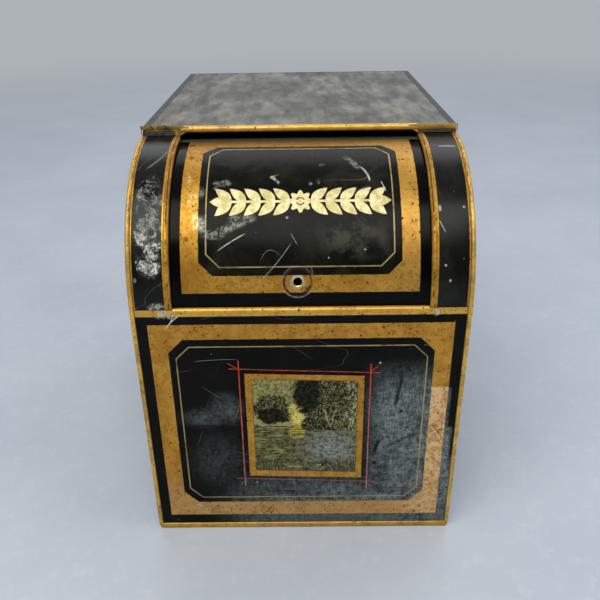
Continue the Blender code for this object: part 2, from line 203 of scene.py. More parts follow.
class Paint:
    """A material whose colour, roughness, metal and relief are fields."""

    def __init__(self, name, specular=0.5):
        self.material = bpy.data.materials.new(name)
        self.material.use_nodes = True
        self.nodes = self.material.node_tree.nodes
        self.links = self.material.node_tree.links
        self.shader = self.nodes["Principled BSDF"]
        self.shader.inputs["Specular IOR Level"].default_value = specular
        place = Field(self, self.node("TexCoord").outputs["Object"])
        to_mm = (1000, 1000, 1000)
        self.place = self.stretched(place, to_mm)
        self.x, self.y, self.z = self.split(self.place)
        sheet = Field(self, self.node("UVMap", uv_map="Sheet").outputs["UV"])
        self.u, self.v, _ = self.split(self.stretched(sheet, to_mm))

    def node(self, kind, **settings):
        made = self.nodes.new("ShaderNode" + kind)
        for key, value in settings.items():
            setattr(made, key, value)
        return made

    def put(self, socket, value):
        if isinstance(value, Field):
            self.links.new(value.socket, socket)
        elif socket.type == "RGBA":
            socket.default_value = (*value, 1)
        else:
            socket.default_value = value

    def math(self, operation, *values):
        made = self.node("Math", operation=operation)
        for socket, value in zip(made.inputs, values):
            self.put(socket, value)
        return Field(self, made.outputs[0])

    def most(self, *values):
        result = values[0]
        for value in values[1:]:
            result = self.math("MAXIMUM", result, value)
        return result

    def least(self, *values):
        result = values[0]
        for value in values[1:]:
            result = self.math("MINIMUM", result, value)
        return result

    def split(self, vector):
        made = self.node("SeparateXYZ")
        self.put(made.inputs[0], vector)
        return [Field(self, socket) for socket in made.outputs]

    def stretched(self, vector, factors, shift=(0, 0, 0)):
        made = self.node("VectorMath", operation="MULTIPLY_ADD")
        for socket, value in zip(made.inputs, (vector, factors, shift)):
            self.put(socket, value)
        return Field(self, made.outputs[0])

    def blend(self, first, second, share):
        """Colours mixed by share."""
        made = self.node("Mix", data_type="RGBA", clamp_factor=True)
        for index, value in ((0, share), (6, first), (7, second)):
            self.put(made.inputs[index], value)
        return Field(self, made.outputs[2])

    def lerp(self, first, second, share):
        """Numbers mixed by share."""
        made = self.node("Mix", data_type="FLOAT", clamp_factor=True)
        for index, value in ((0, share), (2, first), (3, second)):
            self.put(made.inputs[index], value)
        return Field(self, made.outputs[0])

    def noise(self, size, detail=3, rough=0.5, seed=0, stretch=(1, 1, 1), bend=0, at=None):
        """Fractal noise about 0.5, whose features are about size millimetres."""
        factors = [1 / (size * s) for s in stretch]
        shift = (seed * 3.7, seed * 1.9, seed * 5.3)
        made = self.node("TexNoise")
        self.put(made.inputs["Vector"], self.stretched(at or self.place, factors, shift))
        made.inputs["Scale"].default_value = 1
        made.inputs["Detail"].default_value = detail
        made.inputs["Roughness"].default_value = rough
        made.inputs["Distortion"].default_value = bend
        return Field(self, made.outputs[0])

    def cloud(self, low, high, *noise, **settings):
        """Soft patches: a noise eased from 0 at low to 1 at high."""
        return self.noise(*noise, **settings).ramp(low, high)

    def specks(self, size, share, reach=0.45, seed=0, stretch=(1, 1, 1), at=None):
        """Round spots of random width in a share of the cells, each cell size millimetres."""
        factors = [1 / (size * s) for s in stretch]
        made = self.node("TexVoronoi")
        shift = (seed * 2.3, seed * 4.1, seed * 1.7)
        self.put(made.inputs["Vector"], self.stretched(at or self.place, factors, shift))
        made.inputs["Scale"].default_value = 1
        chance = self.split(Field(self, made.outputs["Color"]))[0]
        width = (chance - (1 - share)) * (reach / share)
        return (width - Field(self, made.outputs["Distance"])).ramp(0, 0.08)

    def hairs(self, size, width, stretch, seed=0, gate=(0.5, 0.62), at=None):
        """Fine wandering scratches: the contour lines of a stretched noise."""
        wander = self.noise(size, 1.5, 0.4, seed, stretch, 0.3, at)
        line = abs(wander - 0.5).ramp(width, width * 0.3)
        return line * self.noise(size * 1.3, 2, 0.5, seed + 9, at=at).ramp(*gate)

    def scratches(self, share, axis="X", seed=0):
        """Straight tapered scratches in three directions on faces square to an axis."""
        found = []
        stretch = (56, 1, 1) if axis == "Y" else (1, 56, 1)
        for index, turn in enumerate((-38, 12, 71)):
            made = self.node("VectorRotate", rotation_type=axis + "_AXIS")
            self.put(made.inputs["Vector"], self.place)
            made.inputs["Angle"].default_value = math.radians(turn)
            turned = Field(self, made.outputs[0])
            found.append(self.specks(0.5, share, 0.42, seed + index * 5, stretch, turned))
        return self.most(*found)

    def near(self, centre_u, centre_v, reach_u, reach_v, edge=0.5):
        """1 inside an ellipse on the sheet, fading out over its last part."""
        a = (self.u - centre_u) / reach_u
        b = (self.v - centre_v) / reach_v
        return self.math("SQRT", a * a + b * b).ramp(1, edge)

    def stroke(self, start, end, width, bend=0):
        """1 along a straight or slightly bowed line on the sheet, tapering at its ends."""
        (u0, v0), (u1, v1) = start, end
        length = math.hypot(u1 - u0, v1 - v0)
        du, dv = (u1 - u0) / length, (v1 - v0) / length
        a = self.u - u0
        b = self.v - v0
        along = (a * du + b * dv) / length
        bow = along * (1 - along) * (4 * bend)
        across = b * du - a * dv - bow
        taper = abs(along - 0.5).ramp(0.5, 0.3)
        return abs(across).ramp(width, width * 0.35) * taper

    def look(self, colour, rough, metal=0.0, height=0.0):
        return Look(self, colour, rough, metal, height)

    def finish(self, look):
        self.put(self.shader.inputs["Base Color"], look.colour)
        self.put(self.shader.inputs["Roughness"], look.rough)
        self.put(self.shader.inputs["Metallic"], look.metal)
        bump = self.node("Bump")
        bump.inputs["Strength"].default_value = 1
        bump.inputs["Distance"].default_value = MM
        self.put(bump.inputs["Height"], look.height)
        self.links.new(bump.outputs[0], self.shader.inputs["Normal"])
        return self.material


class Look:
    """A finish: its colour, roughness, metal and relief in mm, each a constant or a field."""

    def __init__(self, paint, colour, rough, metal, height):
        self.paint = paint
        self.colour = colour
        self.rough = rough
        self.metal = metal
        self.height = height

    def coat(self, colour, rough, metal=0.0, rise=0.0):
        """A plain finish with this look's relief, higher by rise mm."""
        height = self.height + rise if rise else self.height
        return Look(self.paint, colour, rough, metal, height)

    def under(self, above, share):
        """This look with another laid over it where share is 1."""
        return Look(
            self.paint,
            self.paint.blend(self.colour, above.colour, share),
            self.paint.lerp(self.rough, above.rough, share),
            self.paint.lerp(self.metal, above.metal, share),
            self.paint.lerp(self.height, above.height, share),
        )


# ---------------------------------------------------------------- finishes


def japan(paint, haze=0.3, seed=0, film_colour=(0.075, 0.078, 0.062)):
    """Black stoving varnish: cloudy, faintly dimpled, with a dull film, dust and hairlines."""
    cloud = paint.noise(34, 4, 0.55, seed)
    fine = paint.noise(2.2, 3, 0.6, seed + 1)
    film = paint.cloud(0.42, 0.74, 22, 5, 0.62, seed + 2, bend=0.6) * haze
    colour = paint.blend((0.0022, 0.0024, 0.0022), (0.0075, 0.0078, 0.0060), cloud)
    colour = colour.blend(film_colour, film)
    rough = 0.14 + cloud * 0.14 + film * 0.35 + fine * 0.05
    height = paint.noise(0.7, 2, 0.5, seed + 3) * 0.004 + paint.noise(7, 2, 0.5, seed) * 0.03
    look = paint.look(colour, rough, 0.0, height)
    dust = paint.specks(4.2, 0.14, 0.15, seed + 4)
    scuffed = paint.look((0.30, 0.29, 0.25), 0.6, 0.0, height)
    look = look.under(scuffed, dust * 0.4)
    hairs = paint.hairs(60, 0.0022, (1, 1, 0.35), seed + 5)
    return look.under(scuffed, hairs * 0.25)


def gilding(paint, seed=0, wear=0.4, tints=()):
    """Bronze-powder paint: ochre and mottled, with dark specks, brown stains and rubbed spots.

    Each tint is a colour and its share, laid on before the dirt.
    """
    tone = paint.noise(16, 4, 0.6, seed)
    mottle = paint.noise(4.2, 5, 0.68, seed + 7)
    grain = paint.noise(0.9, 2, 0.6, seed + 1)
    colour = paint.blend((0.38, 0.175, 0.015), (0.64, 0.350, 0.050), tone.ramp(0.3, 0.66))
    colour = colour.blend((0.32, 0.125, 0.015), mottle.ramp(0.49, 0.60) * 0.65)
    colour = colour.blend((0.78, 0.50, 0.14), mottle.ramp(0.44, 0.30) * 0.3)
    colour = colour.blend((0.72, 0.44, 0.10), grain.ramp(0.5, 0.75) * 0.4)
    for tint, share in tints:
        colour = colour.blend(tint, share)
    stain = paint.cloud(0.54, 0.74, 9, 5, 0.7, seed + 2)
    colour = colour.blend((0.20, 0.088, 0.012), stain * wear)
    height = grain * 0.012 + tone * 0.02
    rough = 0.36 + grain * 0.16 + stain * wear * 0.2
    look = paint.look(colour, rough, 0.58, height)
    dirt = paint.look((0.036, 0.017, 0.005), 0.6, 0.1, height - 0.01)
    crowd = paint.cloud(0.38, 0.60, 14, 3, 0.6, seed + 6) * 0.75 + 0.25
    pits = paint.cloud(0.565, 0.63, 1.9, 5, 0.74, seed + 5) * crowd * 0.75
    look = look.under(dirt, pits)
    look = look.under(dirt, paint.specks(3.4, 0.55, 0.27, seed + 3) * 0.9)
    return look.under(dirt, paint.specks(2.1, 0.75, 0.34, seed + 4) * crowd * 0.85)


def bare_metal(paint, seed=0):
    """Tinplate where the paint has gone: grey, brushed, with brown rust bloom."""
    streak = paint.noise(5, 4, 0.6, seed, (1, 1, 0.3))
    colour = paint.blend((0.20, 0.185, 0.155), (0.48, 0.45, 0.39), streak)
    rust = paint.cloud(0.55, 0.72, 6, 5, 0.65, seed + 1)
    colour = colour.blend((0.13, 0.06, 0.025), rust * 0.7)
    metal = 0.75 - rust * 0.5
    return paint.look(colour, 0.4 + rust * 0.3, metal, streak * 0.01 - 0.02)


def aged_tin_material():
    """The unpainted inside: dull tinned iron, spangled, lacquered brown in patches."""
    paint = Paint("aged_tin")
    spangle = paint.noise(11, 3, 0.6, 2, bend=1.2)
    cloud = paint.noise(45, 4, 0.6, 5)
    colour = paint.blend((0.17, 0.155, 0.13), (0.36, 0.335, 0.29), spangle)
    stain = paint.cloud(0.46, 0.7, 26, 6, 0.66, 7)
    colour = colour.blend((0.15, 0.085, 0.04), stain * 0.75)
    rough = 0.34 + cloud * 0.2 + stain * 0.2
    height = spangle * 0.01 + paint.noise(1.1, 2, 0.5, 3) * 0.008
    look = paint.look(colour, rough, 0.85 - stain * 0.45, height)
    rust = paint.look((0.085, 0.035, 0.014), 0.75, 0.05, height)
    look = look.under(rust, paint.specks(3.4, 0.3, 0.3, 11) * 0.8)
    scratch = paint.look((0.5, 0.48, 0.44), 0.3, 0.9, height - 0.02)
    look = look.under(scratch, paint.hairs(40, 0.003, (1, 1, 0.3), 13) * 0.5)
    return paint.finish(look)


def iron_material(name, dark, light, rust_share):
    """Wire and rivet iron: drawn grey metal going brown."""
    paint = Paint(name)
    streak = paint.noise(3, 4, 0.6, 1, (3, 1, 1))
    colour = paint.blend(dark, light, streak)
    rust = paint.cloud(0.5, 0.68, 2.4, 5, 0.7, 4) * rust_share
    colour = colour.blend((0.10, 0.042, 0.016), rust)
    bevel = paint.node("Bevel", samples=4)
    bevel.inputs["Radius"].default_value = 0.35 * MM
    flat = paint.node("NewGeometry")
    turn = paint.node("VectorMath", operation="DOT_PRODUCT")
    paint.links.new(bevel.outputs[0], turn.inputs[0])
    paint.links.new(flat.outputs["Normal"], turn.inputs[1])
    edge = Field(paint, turn.outputs["Value"]).ramp(0.985, 0.9)
    rubbed = edge * paint.cloud(0.35, 0.6, 1.5, 3, 0.6, 6)
    colour = colour.blend((0.52, 0.48, 0.42), rubbed * 0.7)
    height = paint.noise(0.5, 3, 0.6, 8) * 0.02
    look = paint.look(colour, 0.38 + rust * 0.35, 0.85 - rust * 0.6, height)
    return paint.finish(look)


def edge_of(paint, value, soft=0.25, wobble=0.5, seed=0, size=5):
    """1 where value, a signed distance in mm, is negative, with a hand-cut edge."""
    wander = (paint.noise(size, 3, 0.6, seed + 20) - 0.5) * wobble
    return (value + wander).ramp(soft, -soft)


def cut_corner_box(paint, centre, half, corner=0.0, lean=0.0):
    """Signed distance in mm to a box on the sheet whose corners are cut, as a sign-painter's panel."""
    u = abs(paint.u - centre[0]) - half[0]
    level = paint.v - centre[1]
    if lean:
        level = level + (paint.u - centre[0]) * lean
    v = abs(level) - half[1]
    if not corner:
        return paint.most(u, v)
    return paint.most(u, v, (u + v + corner) * math.sqrt(0.5))


def panel_paint(paint, look, gold, outer, inner, line, seed):
    """A gold band and, inside it, a fine line with cut corners."""
    outside = edge_of(paint, cut_corner_box(paint, *outer), 0.15, 0.5, seed)
    inside = edge_of(paint, cut_corner_box(paint, *inner), 0.15, 0.6, seed + 1)
    band = outside * (1 - inside)
    stripe = abs(cut_corner_box(paint, *line)) - 0.36
    stripe = edge_of(paint, stripe, 0.14, 0.3, seed + 2, 9)
    faint = paint.cloud(0.3, 0.5, 14, 4, 0.6, seed + 3)
    pale = gold.coat((0.42, 0.31, 0.13), 0.4, 0.35, 0.01)
    look = look.under(pale, stripe * (0.35 + faint * 0.6))
    return look.under(gold, band), band


def leaf(paint, across, up, turn, length, half_width):
    """A pointed leaf from the origin of (across, up): signed distance in mm, negative inside."""
    along = across * math.cos(turn) + up * math.sin(turn)
    off = up * math.cos(turn) - across * math.sin(turn)
    t = paint.least(paint.most(along / length, 0.0), 1.0)
    width = t * (1 - t) * (4.0 * half_width) * (1.35 - t * 0.7)
    beyond = abs(along / length - 0.5) * length - length / 2
    return paint.most(abs(off) - width, beyond)


def garland(paint, centre, half_length, reach):
    """A mirrored laurel spray with a flower in its middle: a generic sign-writer's ornament."""
    across = abs(paint.u - centre[0])
    up = abs(paint.v - centre[1])
    pitch = 8.6
    first = 6.2
    step = (across - first) / pitch
    cell = paint.math("FLOOR", step)
    shape = None
    for back in (0, 1):
        index = paint.least(paint.most(cell - back, 0.0), 4.0)
        start = across - first - index * pitch
        one = leaf(paint, start, up - 0.2, math.radians(42), 13.4, 2.9)
        shape = one if shape is None else paint.least(shape, one)
    stem = paint.most(up - 0.8, across - (half_length - 4))
    tip = leaf(paint, across - (half_length - 10), up, 0.0, 10, 3.2)
    u = paint.u - centre[0]
    v = paint.v - centre[1]
    radius = paint.math("SQRT", u * u + v * v)
    petals = paint.math("COSINE", paint.math("ARCTAN2", v, u) * 8)
    flower = radius - (petals * 1.1 + 6.3)
    heart = abs(radius - 2.3) - 0.35
    shape = paint.least(shape, stem, tip)
    shape = paint.most(shape, up - reach)
    flower = paint.most(flower, 0.0 - heart)
    return paint.least(shape, flower)


def landscape(paint, centre, half):
    """An imagined lake between trees in old varnished oils: its look, and the opening's edge."""
    lean = 0.033
    level = paint.v + (paint.u - centre[0]) * lean
    a = (paint.u - (centre[0] - half[0])) / (2 * half[0])
    b = (level - (centre[1] - half[1])) / (2 * half[1])
    dab = paint.noise(2.6, 5, 0.7, 31)
    daub = paint.noise(1.1, 3, 0.65, 32)
    leafage = paint.noise(6, 7, 0.78, 33)
    brush = paint.noise(1.2, 4, 0.7, 35, (1, 1, 3.5), 0.4)
    ripple = paint.noise(1.1, 4, 0.65, 34, (6, 1, 1))

    def blob(ca, cb, ra, rb, soft=0.86, ragged=1.3):
        da = (a - ca) / ra
        db = (b - cb) / rb
        far = paint.math("SQRT", da * da + db * db) + (leafage - 0.5) * ragged
        return far.ramp(1.0, soft)

    def bar(place_b, start, end, width, strength=1.0):
        across = abs(b - place_b + (dab - 0.5) * 0.012).ramp(width, width * 0.3)
        ends = a.ramp(start, start + 0.04) * a.ramp(end, end - 0.04)
        return across * ends * strength

    sky = paint.blend((0.115, 0.112, 0.036), (0.34, 0.33, 0.125), dab.ramp(0.40, 0.60))
    sky = sky.blend((0.42, 0.36, 0.12), b.ramp(0.75, 0.55) * 0.5)
    dark = paint.blend((0.004, 0.005, 0.003), (0.036, 0.040, 0.018), dab.ramp(0.4, 0.7))
    leaves = dark.blend((0.25, 0.24, 0.10), daub.ramp(0.47, 0.62) * 0.8)
    bright = leaves.blend((0.46, 0.47, 0.25), brush.ramp(0.49, 0.61) * 0.85)
    colour = sky
    for tone, *place in (
        (bright, 0.93, 0.74, 0.34, 0.40, 0.7),
        (leaves, 0.66, 0.80, 0.30, 0.34),
        (dark, 0.52, 0.86, 0.13, 0.24),
        (leaves, 0.68, 0.55, 0.24, 0.18),
        (leaves, 0.19, 0.68, 0.20, 0.17),
        (dark, 0.17, 0.62, 0.15, 0.09),
    ):
        colour = colour.blend(tone, blob(*place))
    glow = paint.most(blob(0.44, 0.62, 0.075, 0.10, 0.7, 2.8), blob(0.38, 0.70, 0.06, 0.07, 0.6, 2.6) * 0.7)
    colour = colour.blend((0.74, 0.62, 0.17), glow * daub.ramp(0.38, 0.52))
    colour = colour.blend(dark, blob(0.485, 0.675, 0.07, 0.03, 0.7, 2.6))
    trunks = paint.most(
        abs(a - 0.715 + (b - 0.6) * 0.28 + (leafage - 0.5) * 0.09).ramp(0.010, 0.003),
        abs(a - 0.77 - (b - 0.6) * 0.30 + (leafage - 0.5) * 0.08).ramp(0.008, 0.002),
        abs(a - 0.88 - (b - 0.6) * 0.45 + (leafage - 0.5) * 0.12).ramp(0.008, 0.002),
    )
    trunks = trunks * b.ramp(0.49, 0.54) * b.ramp(0.76, 0.66)
    colour = colour.blend((0.46, 0.43, 0.26), trunks * (0.35 + daub.ramp(0.42, 0.55) * 0.5))

    water = paint.blend((0.030, 0.030, 0.012), (0.15, 0.145, 0.062), dab.ramp(0.38, 0.62))
    grey = paint.blend((0.085, 0.095, 0.090), (0.33, 0.35, 0.345), dab.ramp(0.38, 0.62))
    water = water.blend(grey, blob(0.76, 0.26, 0.42, 0.33, 0.1, 0.9) * 0.85)
    fleck = paint.blend((0.27, 0.26, 0.14), (0.40, 0.385, 0.14), a.ramp(0.5, 0.2))
    water = water.blend(fleck, ripple.ramp(0.53, 0.64) * 0.7)
    echo = blob(0.42, 0.45, 0.085, 0.08, 0.7, 2.0) * ripple.ramp(0.42, 0.54)
    water = water.blend((0.56, 0.43, 0.07), echo * 0.85)
    shore = b - 0.52 + (dab - 0.5) * 0.03 + a.ramp(0.42, 0.50) * 0.05
    colour = water.blend(colour, shore.ramp(-0.006, 0.006))
    lines = paint.most(
        bar(0.515, 0.02, 0.40, 0.006),
        bar(0.49, 0.10, 0.36, 0.005, 0.8),
        bar(0.40, 0.12, 0.48, 0.005, 0.45),
        bar(0.05, 0.30, 0.48, 0.008, 0.9),
        bar(0.075, 0.05, 0.36, 0.005, 0.7),
    )
    colour = colour.blend((0.52, 0.46, 0.27), lines * 0.8)
    bank = (b - 0.14 - (leafage - 0.5) * 0.2).ramp(0.04, -0.04)
    reeds = paint.blend((0.045, 0.044, 0.022), (0.30, 0.28, 0.16), brush.ramp(0.5, 0.66))
    colour = colour.blend(reeds, bank * abs(a - 0.45).ramp(0.1, 0.25) * 0.85)
    clump = blob(0.68, 0.07, 0.085, 0.06, 0.7, 0.9)
    colour = colour.blend(dark.blend((0.42, 0.40, 0.2), daub.ramp(0.5, 0.62)), clump)

    look = paint.look(colour, 0.30 + daub * 0.15, 0.0, dab * 0.03 + daub * 0.02)
    return look, cut_corner_box(paint, centre, half, 0.0, lean)


def front_material():
    """The front sheet: gilt panel and line, red ruled cross-lines, a gilt frame and its picture."""
    paint = Paint("front_paint", specular=0.05)
    look = japan(paint, 0.05, 3, (0.05, 0.058, 0.055))

    # A dull blue-grey bloom on the right, below the picture and faintly on the left, which also paints the
    # floor's reflection in the black
    beside = paint.u.ramp(36, 54) * paint.v.ramp(142, 106)
    below = paint.v.ramp(56, 30) * paint.u.ramp(-70, -5) * 0.8
    limit = paint.most(
        paint.v.ramp(66, 56),
        paint.v.ramp(88, 84) * paint.u.ramp(98, 95.5),
        paint.v.ramp(118, 116) * paint.u.ramp(94.6, 93.4) * 0.6,
    )
    beside = beside * paint.lerp(1.0, limit, paint.u.ramp(91.5, 92.5))
    patch = paint.most(
        paint.near(-49, 102, 15, 17, 0.1) * 0.46,
        paint.near(-62, 95, 22, 11, 0.1) * 0.34,
    )
    veil = paint.near(-56, 60, 26, 34, 0.1) * 0.2
    # Partly varnish bloom and partly a painted reflection of the floor
    bloom_and_reflection = paint.most(beside, below, patch, veil)
    wiped = paint.cloud(0.30, 0.60, 15, 5, 0.6, 41, (1, 1, 1.3), 0.4)
    brushed = paint.cloud(0.36, 0.60, 4, 5, 0.7, 44, (4, 1, 1))
    bloom_and_reflection = bloom_and_reflection * (0.35 + wiped * 0.45 + brushed * 0.2)
    steep = paint.noise(1.7, 7, 0.74, 42, (1, 1, 3.2), 0.9)
    level = paint.noise(2.2, 7, 0.74, 46, (2.6, 1, 1), 0.9)
    mottle = (steep * 0.55 + level * 0.45).ramp(0.42, 0.58)
    tint = paint.blend((0.060, 0.074, 0.074), (0.240, 0.285, 0.278), mottle)
    film = look.coat(tint, 0.42)
    look = look.under(film, bloom_and_reflection * 0.95)
    rub = paint.hairs(26, 0.006, (0.4, 1, 1.4), 43, (0.42, 0.6))
    pale = look.coat((0.20, 0.23, 0.25), 0.5)
    look = look.under(pale, rub * bloom_and_reflection * 0.6)
    look = look.under(pale, paint.scratches(0.02, "Y", 47) * 0.35)
    outer = ((0.0, 88.2), (92.0, 75.8))
    border = cut_corner_box(paint, *outer).ramp(-1, 0.5)
    dust = look.coat((0.075, 0.077, 0.062), 0.5)
    low = paint.v.ramp(16, 8) * paint.u.ramp(-30, 0) * wiped
    look = look.under(dust, border * low * 0.8)
    ink = look.coat((0.004, 0.004, 0.004), 0.3)
    strokes = paint.most(
        paint.stroke((63, 131), (58.6, 102), 1.5, 0.5) * 0.9,
        paint.near(63.4, 99.6, 1.4, 1.4, 0.6),
        paint.stroke((50.2, 77.5), (46.8, 65), 1.7),
        paint.near(47.6, 57.5, 1.9, 1.9, 0.6),
        paint.stroke((52, 69), (81, 84), 1.8, 1) * 0.55,
        paint.stroke((-75, 88.8), (-41, 88), 1.0, 0.5) * 0.7,
        paint.stroke((-28, 34.5), (-2, 31.5), 3.0) * brushed * 0.8,
        paint.stroke((67, 88), (71, 112), 0.6, 1.5) * 0.5,
        paint.stroke((-52, 112), (-50, 96), 1.6, 1.0) * 0.5,
    )
    look = look.under(ink, strokes * 0.9)

    # The gilding is rubbed pale down the right side, from a wiped edge
    rubbed = paint.u.ramp(60, 80) * paint.v.ramp(118.4, 117.2)
    patchy = paint.cloud(0.42, 0.54, 3.4, 7, 0.76, 45)
    rubbed = rubbed * (0.68 + paint.v.ramp(20, 60) * 0.32) * (0.2 + patchy * 0.8)
    warm = paint.v.ramp(60, 14) * (0.3 + patchy * 0.4)
    tints = [((0.47, 0.215, 0.045), 0.35), ((0.58, 0.37, 0.17), warm), ((0.84, 0.55, 0.28), rubbed)]
    gold = gilding(paint, 5, 0.6, tints)

    inner = ((0.1, 88.85), (81.3, 64.85), 9.3)
    line = ((0.2, 88.4), (77.0, 60.1), 8.3)
    look, _ = panel_paint(paint, look, gold, outer, inner, line, 50)

    # Red ruled lines that cross and overrun at the corners
    across = paint.u - 2.0
    up = paint.v + across * 0.0402 - 86.9
    red = look.coat((0.68, 0.085, 0.042), 0.45, rise=0.01)
    faded = look.coat((0.52, 0.23, 0.22), 0.5, rise=0.01)
    along_v = abs(up).ramp(50.6, 49.4)
    along_u = abs(across).ramp(47.6, 46.4)
    wander = (paint.noise(20, 2, 0.5, 60) - 0.5) * 0.7
    uprights = abs(abs(across + wander) - 41.0).ramp(0.48, 0.18) * along_v
    levels = abs(abs(up + wander) - 43.8).ramp(0.42, 0.14) * along_u
    ticks = paint.most(
        paint.stroke((-46.4, 137.4), (-37.6, 131.2), 0.45),
        paint.stroke((42.4, 129.2), (48.4, 134.6), 0.45),
        paint.stroke((-42.6, 37.8), (-36.6, 43.6), 0.45, 1.2),
        paint.stroke((41.4, 41.6), (46.6, 36.4), 0.45),
    )
    thin = 0.5 + paint.cloud(0.35, 0.6, 5, 4, 0.65, 61) * 0.45
    ageing = red.under(faded, paint.v.ramp(125, 48) * 0.85)
    low = paint.v.ramp(60, 45) * 0.45
    ruled = paint.most(levels, ticks * 0.8) * 0.85 * (1 - low)
    look = look.under(ageing, paint.most(ruled, uprights) * thin)

    # Gilt frame, a dark inner line, and the picture
    frame_edge = cut_corner_box(paint, (1.85, 86.9), (37.4, 40.9), 0.0, 0.033)
    look = look.under(gold, edge_of(paint, frame_edge, 0.12, 0.35, 62))
    picture, opening = landscape(paint, (2.0, 87.4), (33.0, 36.3))
    shade = look.coat((0.06, 0.035, 0.012), 0.5, 0.1)
    look = look.under(shade, edge_of(paint, opening - 0.45, 0.2, 0.2, 64) * 0.7)
    look = look.under(picture, edge_of(paint, opening, 0.15, 0.2, 63))

    # Gold top edge below the bead, tinted brighter, which partly paints the light falling on the bead
    fringe = edge_of(paint, 169.6 - paint.v, 0.12, 0.4, 65)
    look = look.under(gilding(paint, 8, 0.6, [((0.84, 0.53, 0.12), 0.45)]), fringe)

    metal = bare_metal(paint, 3)
    rub_spots = paint.most(
        paint.near(-76, 170, 9, 6, 0.2) * 0.9,
        paint.near(-90, 8, 6, 4, 0.3) * 0.5,
        paint.near(88, 166, 6, 5, 0.3) * 0.4,
    )
    chips = (paint.noise(2.6, 5, 0.75, 66) + rub_spots * 0.22).ramp(0.72, 0.78)
    look = look.under(metal, chips)
    white = look.coat((0.55, 0.53, 0.46), 0.5, 0.1, -0.02)
    flaked = paint.cloud(0.47, 0.53, 2.4, 6, 0.76, 67, bend=0.5)
    junctions = paint.most(paint.near(-81, 171, 8, 4, 0.3), paint.near(80.5, 171, 3.2, 3, 0.3))
    look = look.under(white, flaked * junctions * 0.9)
    marks = paint.most(
        paint.stroke((-82, 160), (-71, 171), 0.5, 1),
        paint.stroke((-79, 164), (-76, 172), 0.4, -0.6),
        paint.stroke((-68, 138), (-38, 139.5), 0.22, 0.5) * 0.4,
        paint.stroke((-74, 22), (-69, 19.5), 0.8, 0.4) * 0.7,
        paint.near(48.5, 136, 0.9, 0.9, 0.5) * 0.9,
        paint.near(-31, 41.5, 1.0, 0.8, 0.5) * 0.5,
    )
    look = look.under(white, marks)
    nick = paint.most(
        paint.stroke((82.5, 90), (91.5, 77), 0.55, 0.5) * 0.8,
        paint.stroke((84, 79), (90, 86), 0.4) * 0.5,
        paint.stroke((83, 63), (92, 55.5), 0.5, 0.4) * 0.8,
        paint.stroke((-26, 13), (-21.5, 20), 0.55),
        paint.stroke((-23.5, 12.5), (-20, 17), 0.4),
    )
    look = look.under(ink, nick * 0.9)
    return paint.finish(look)


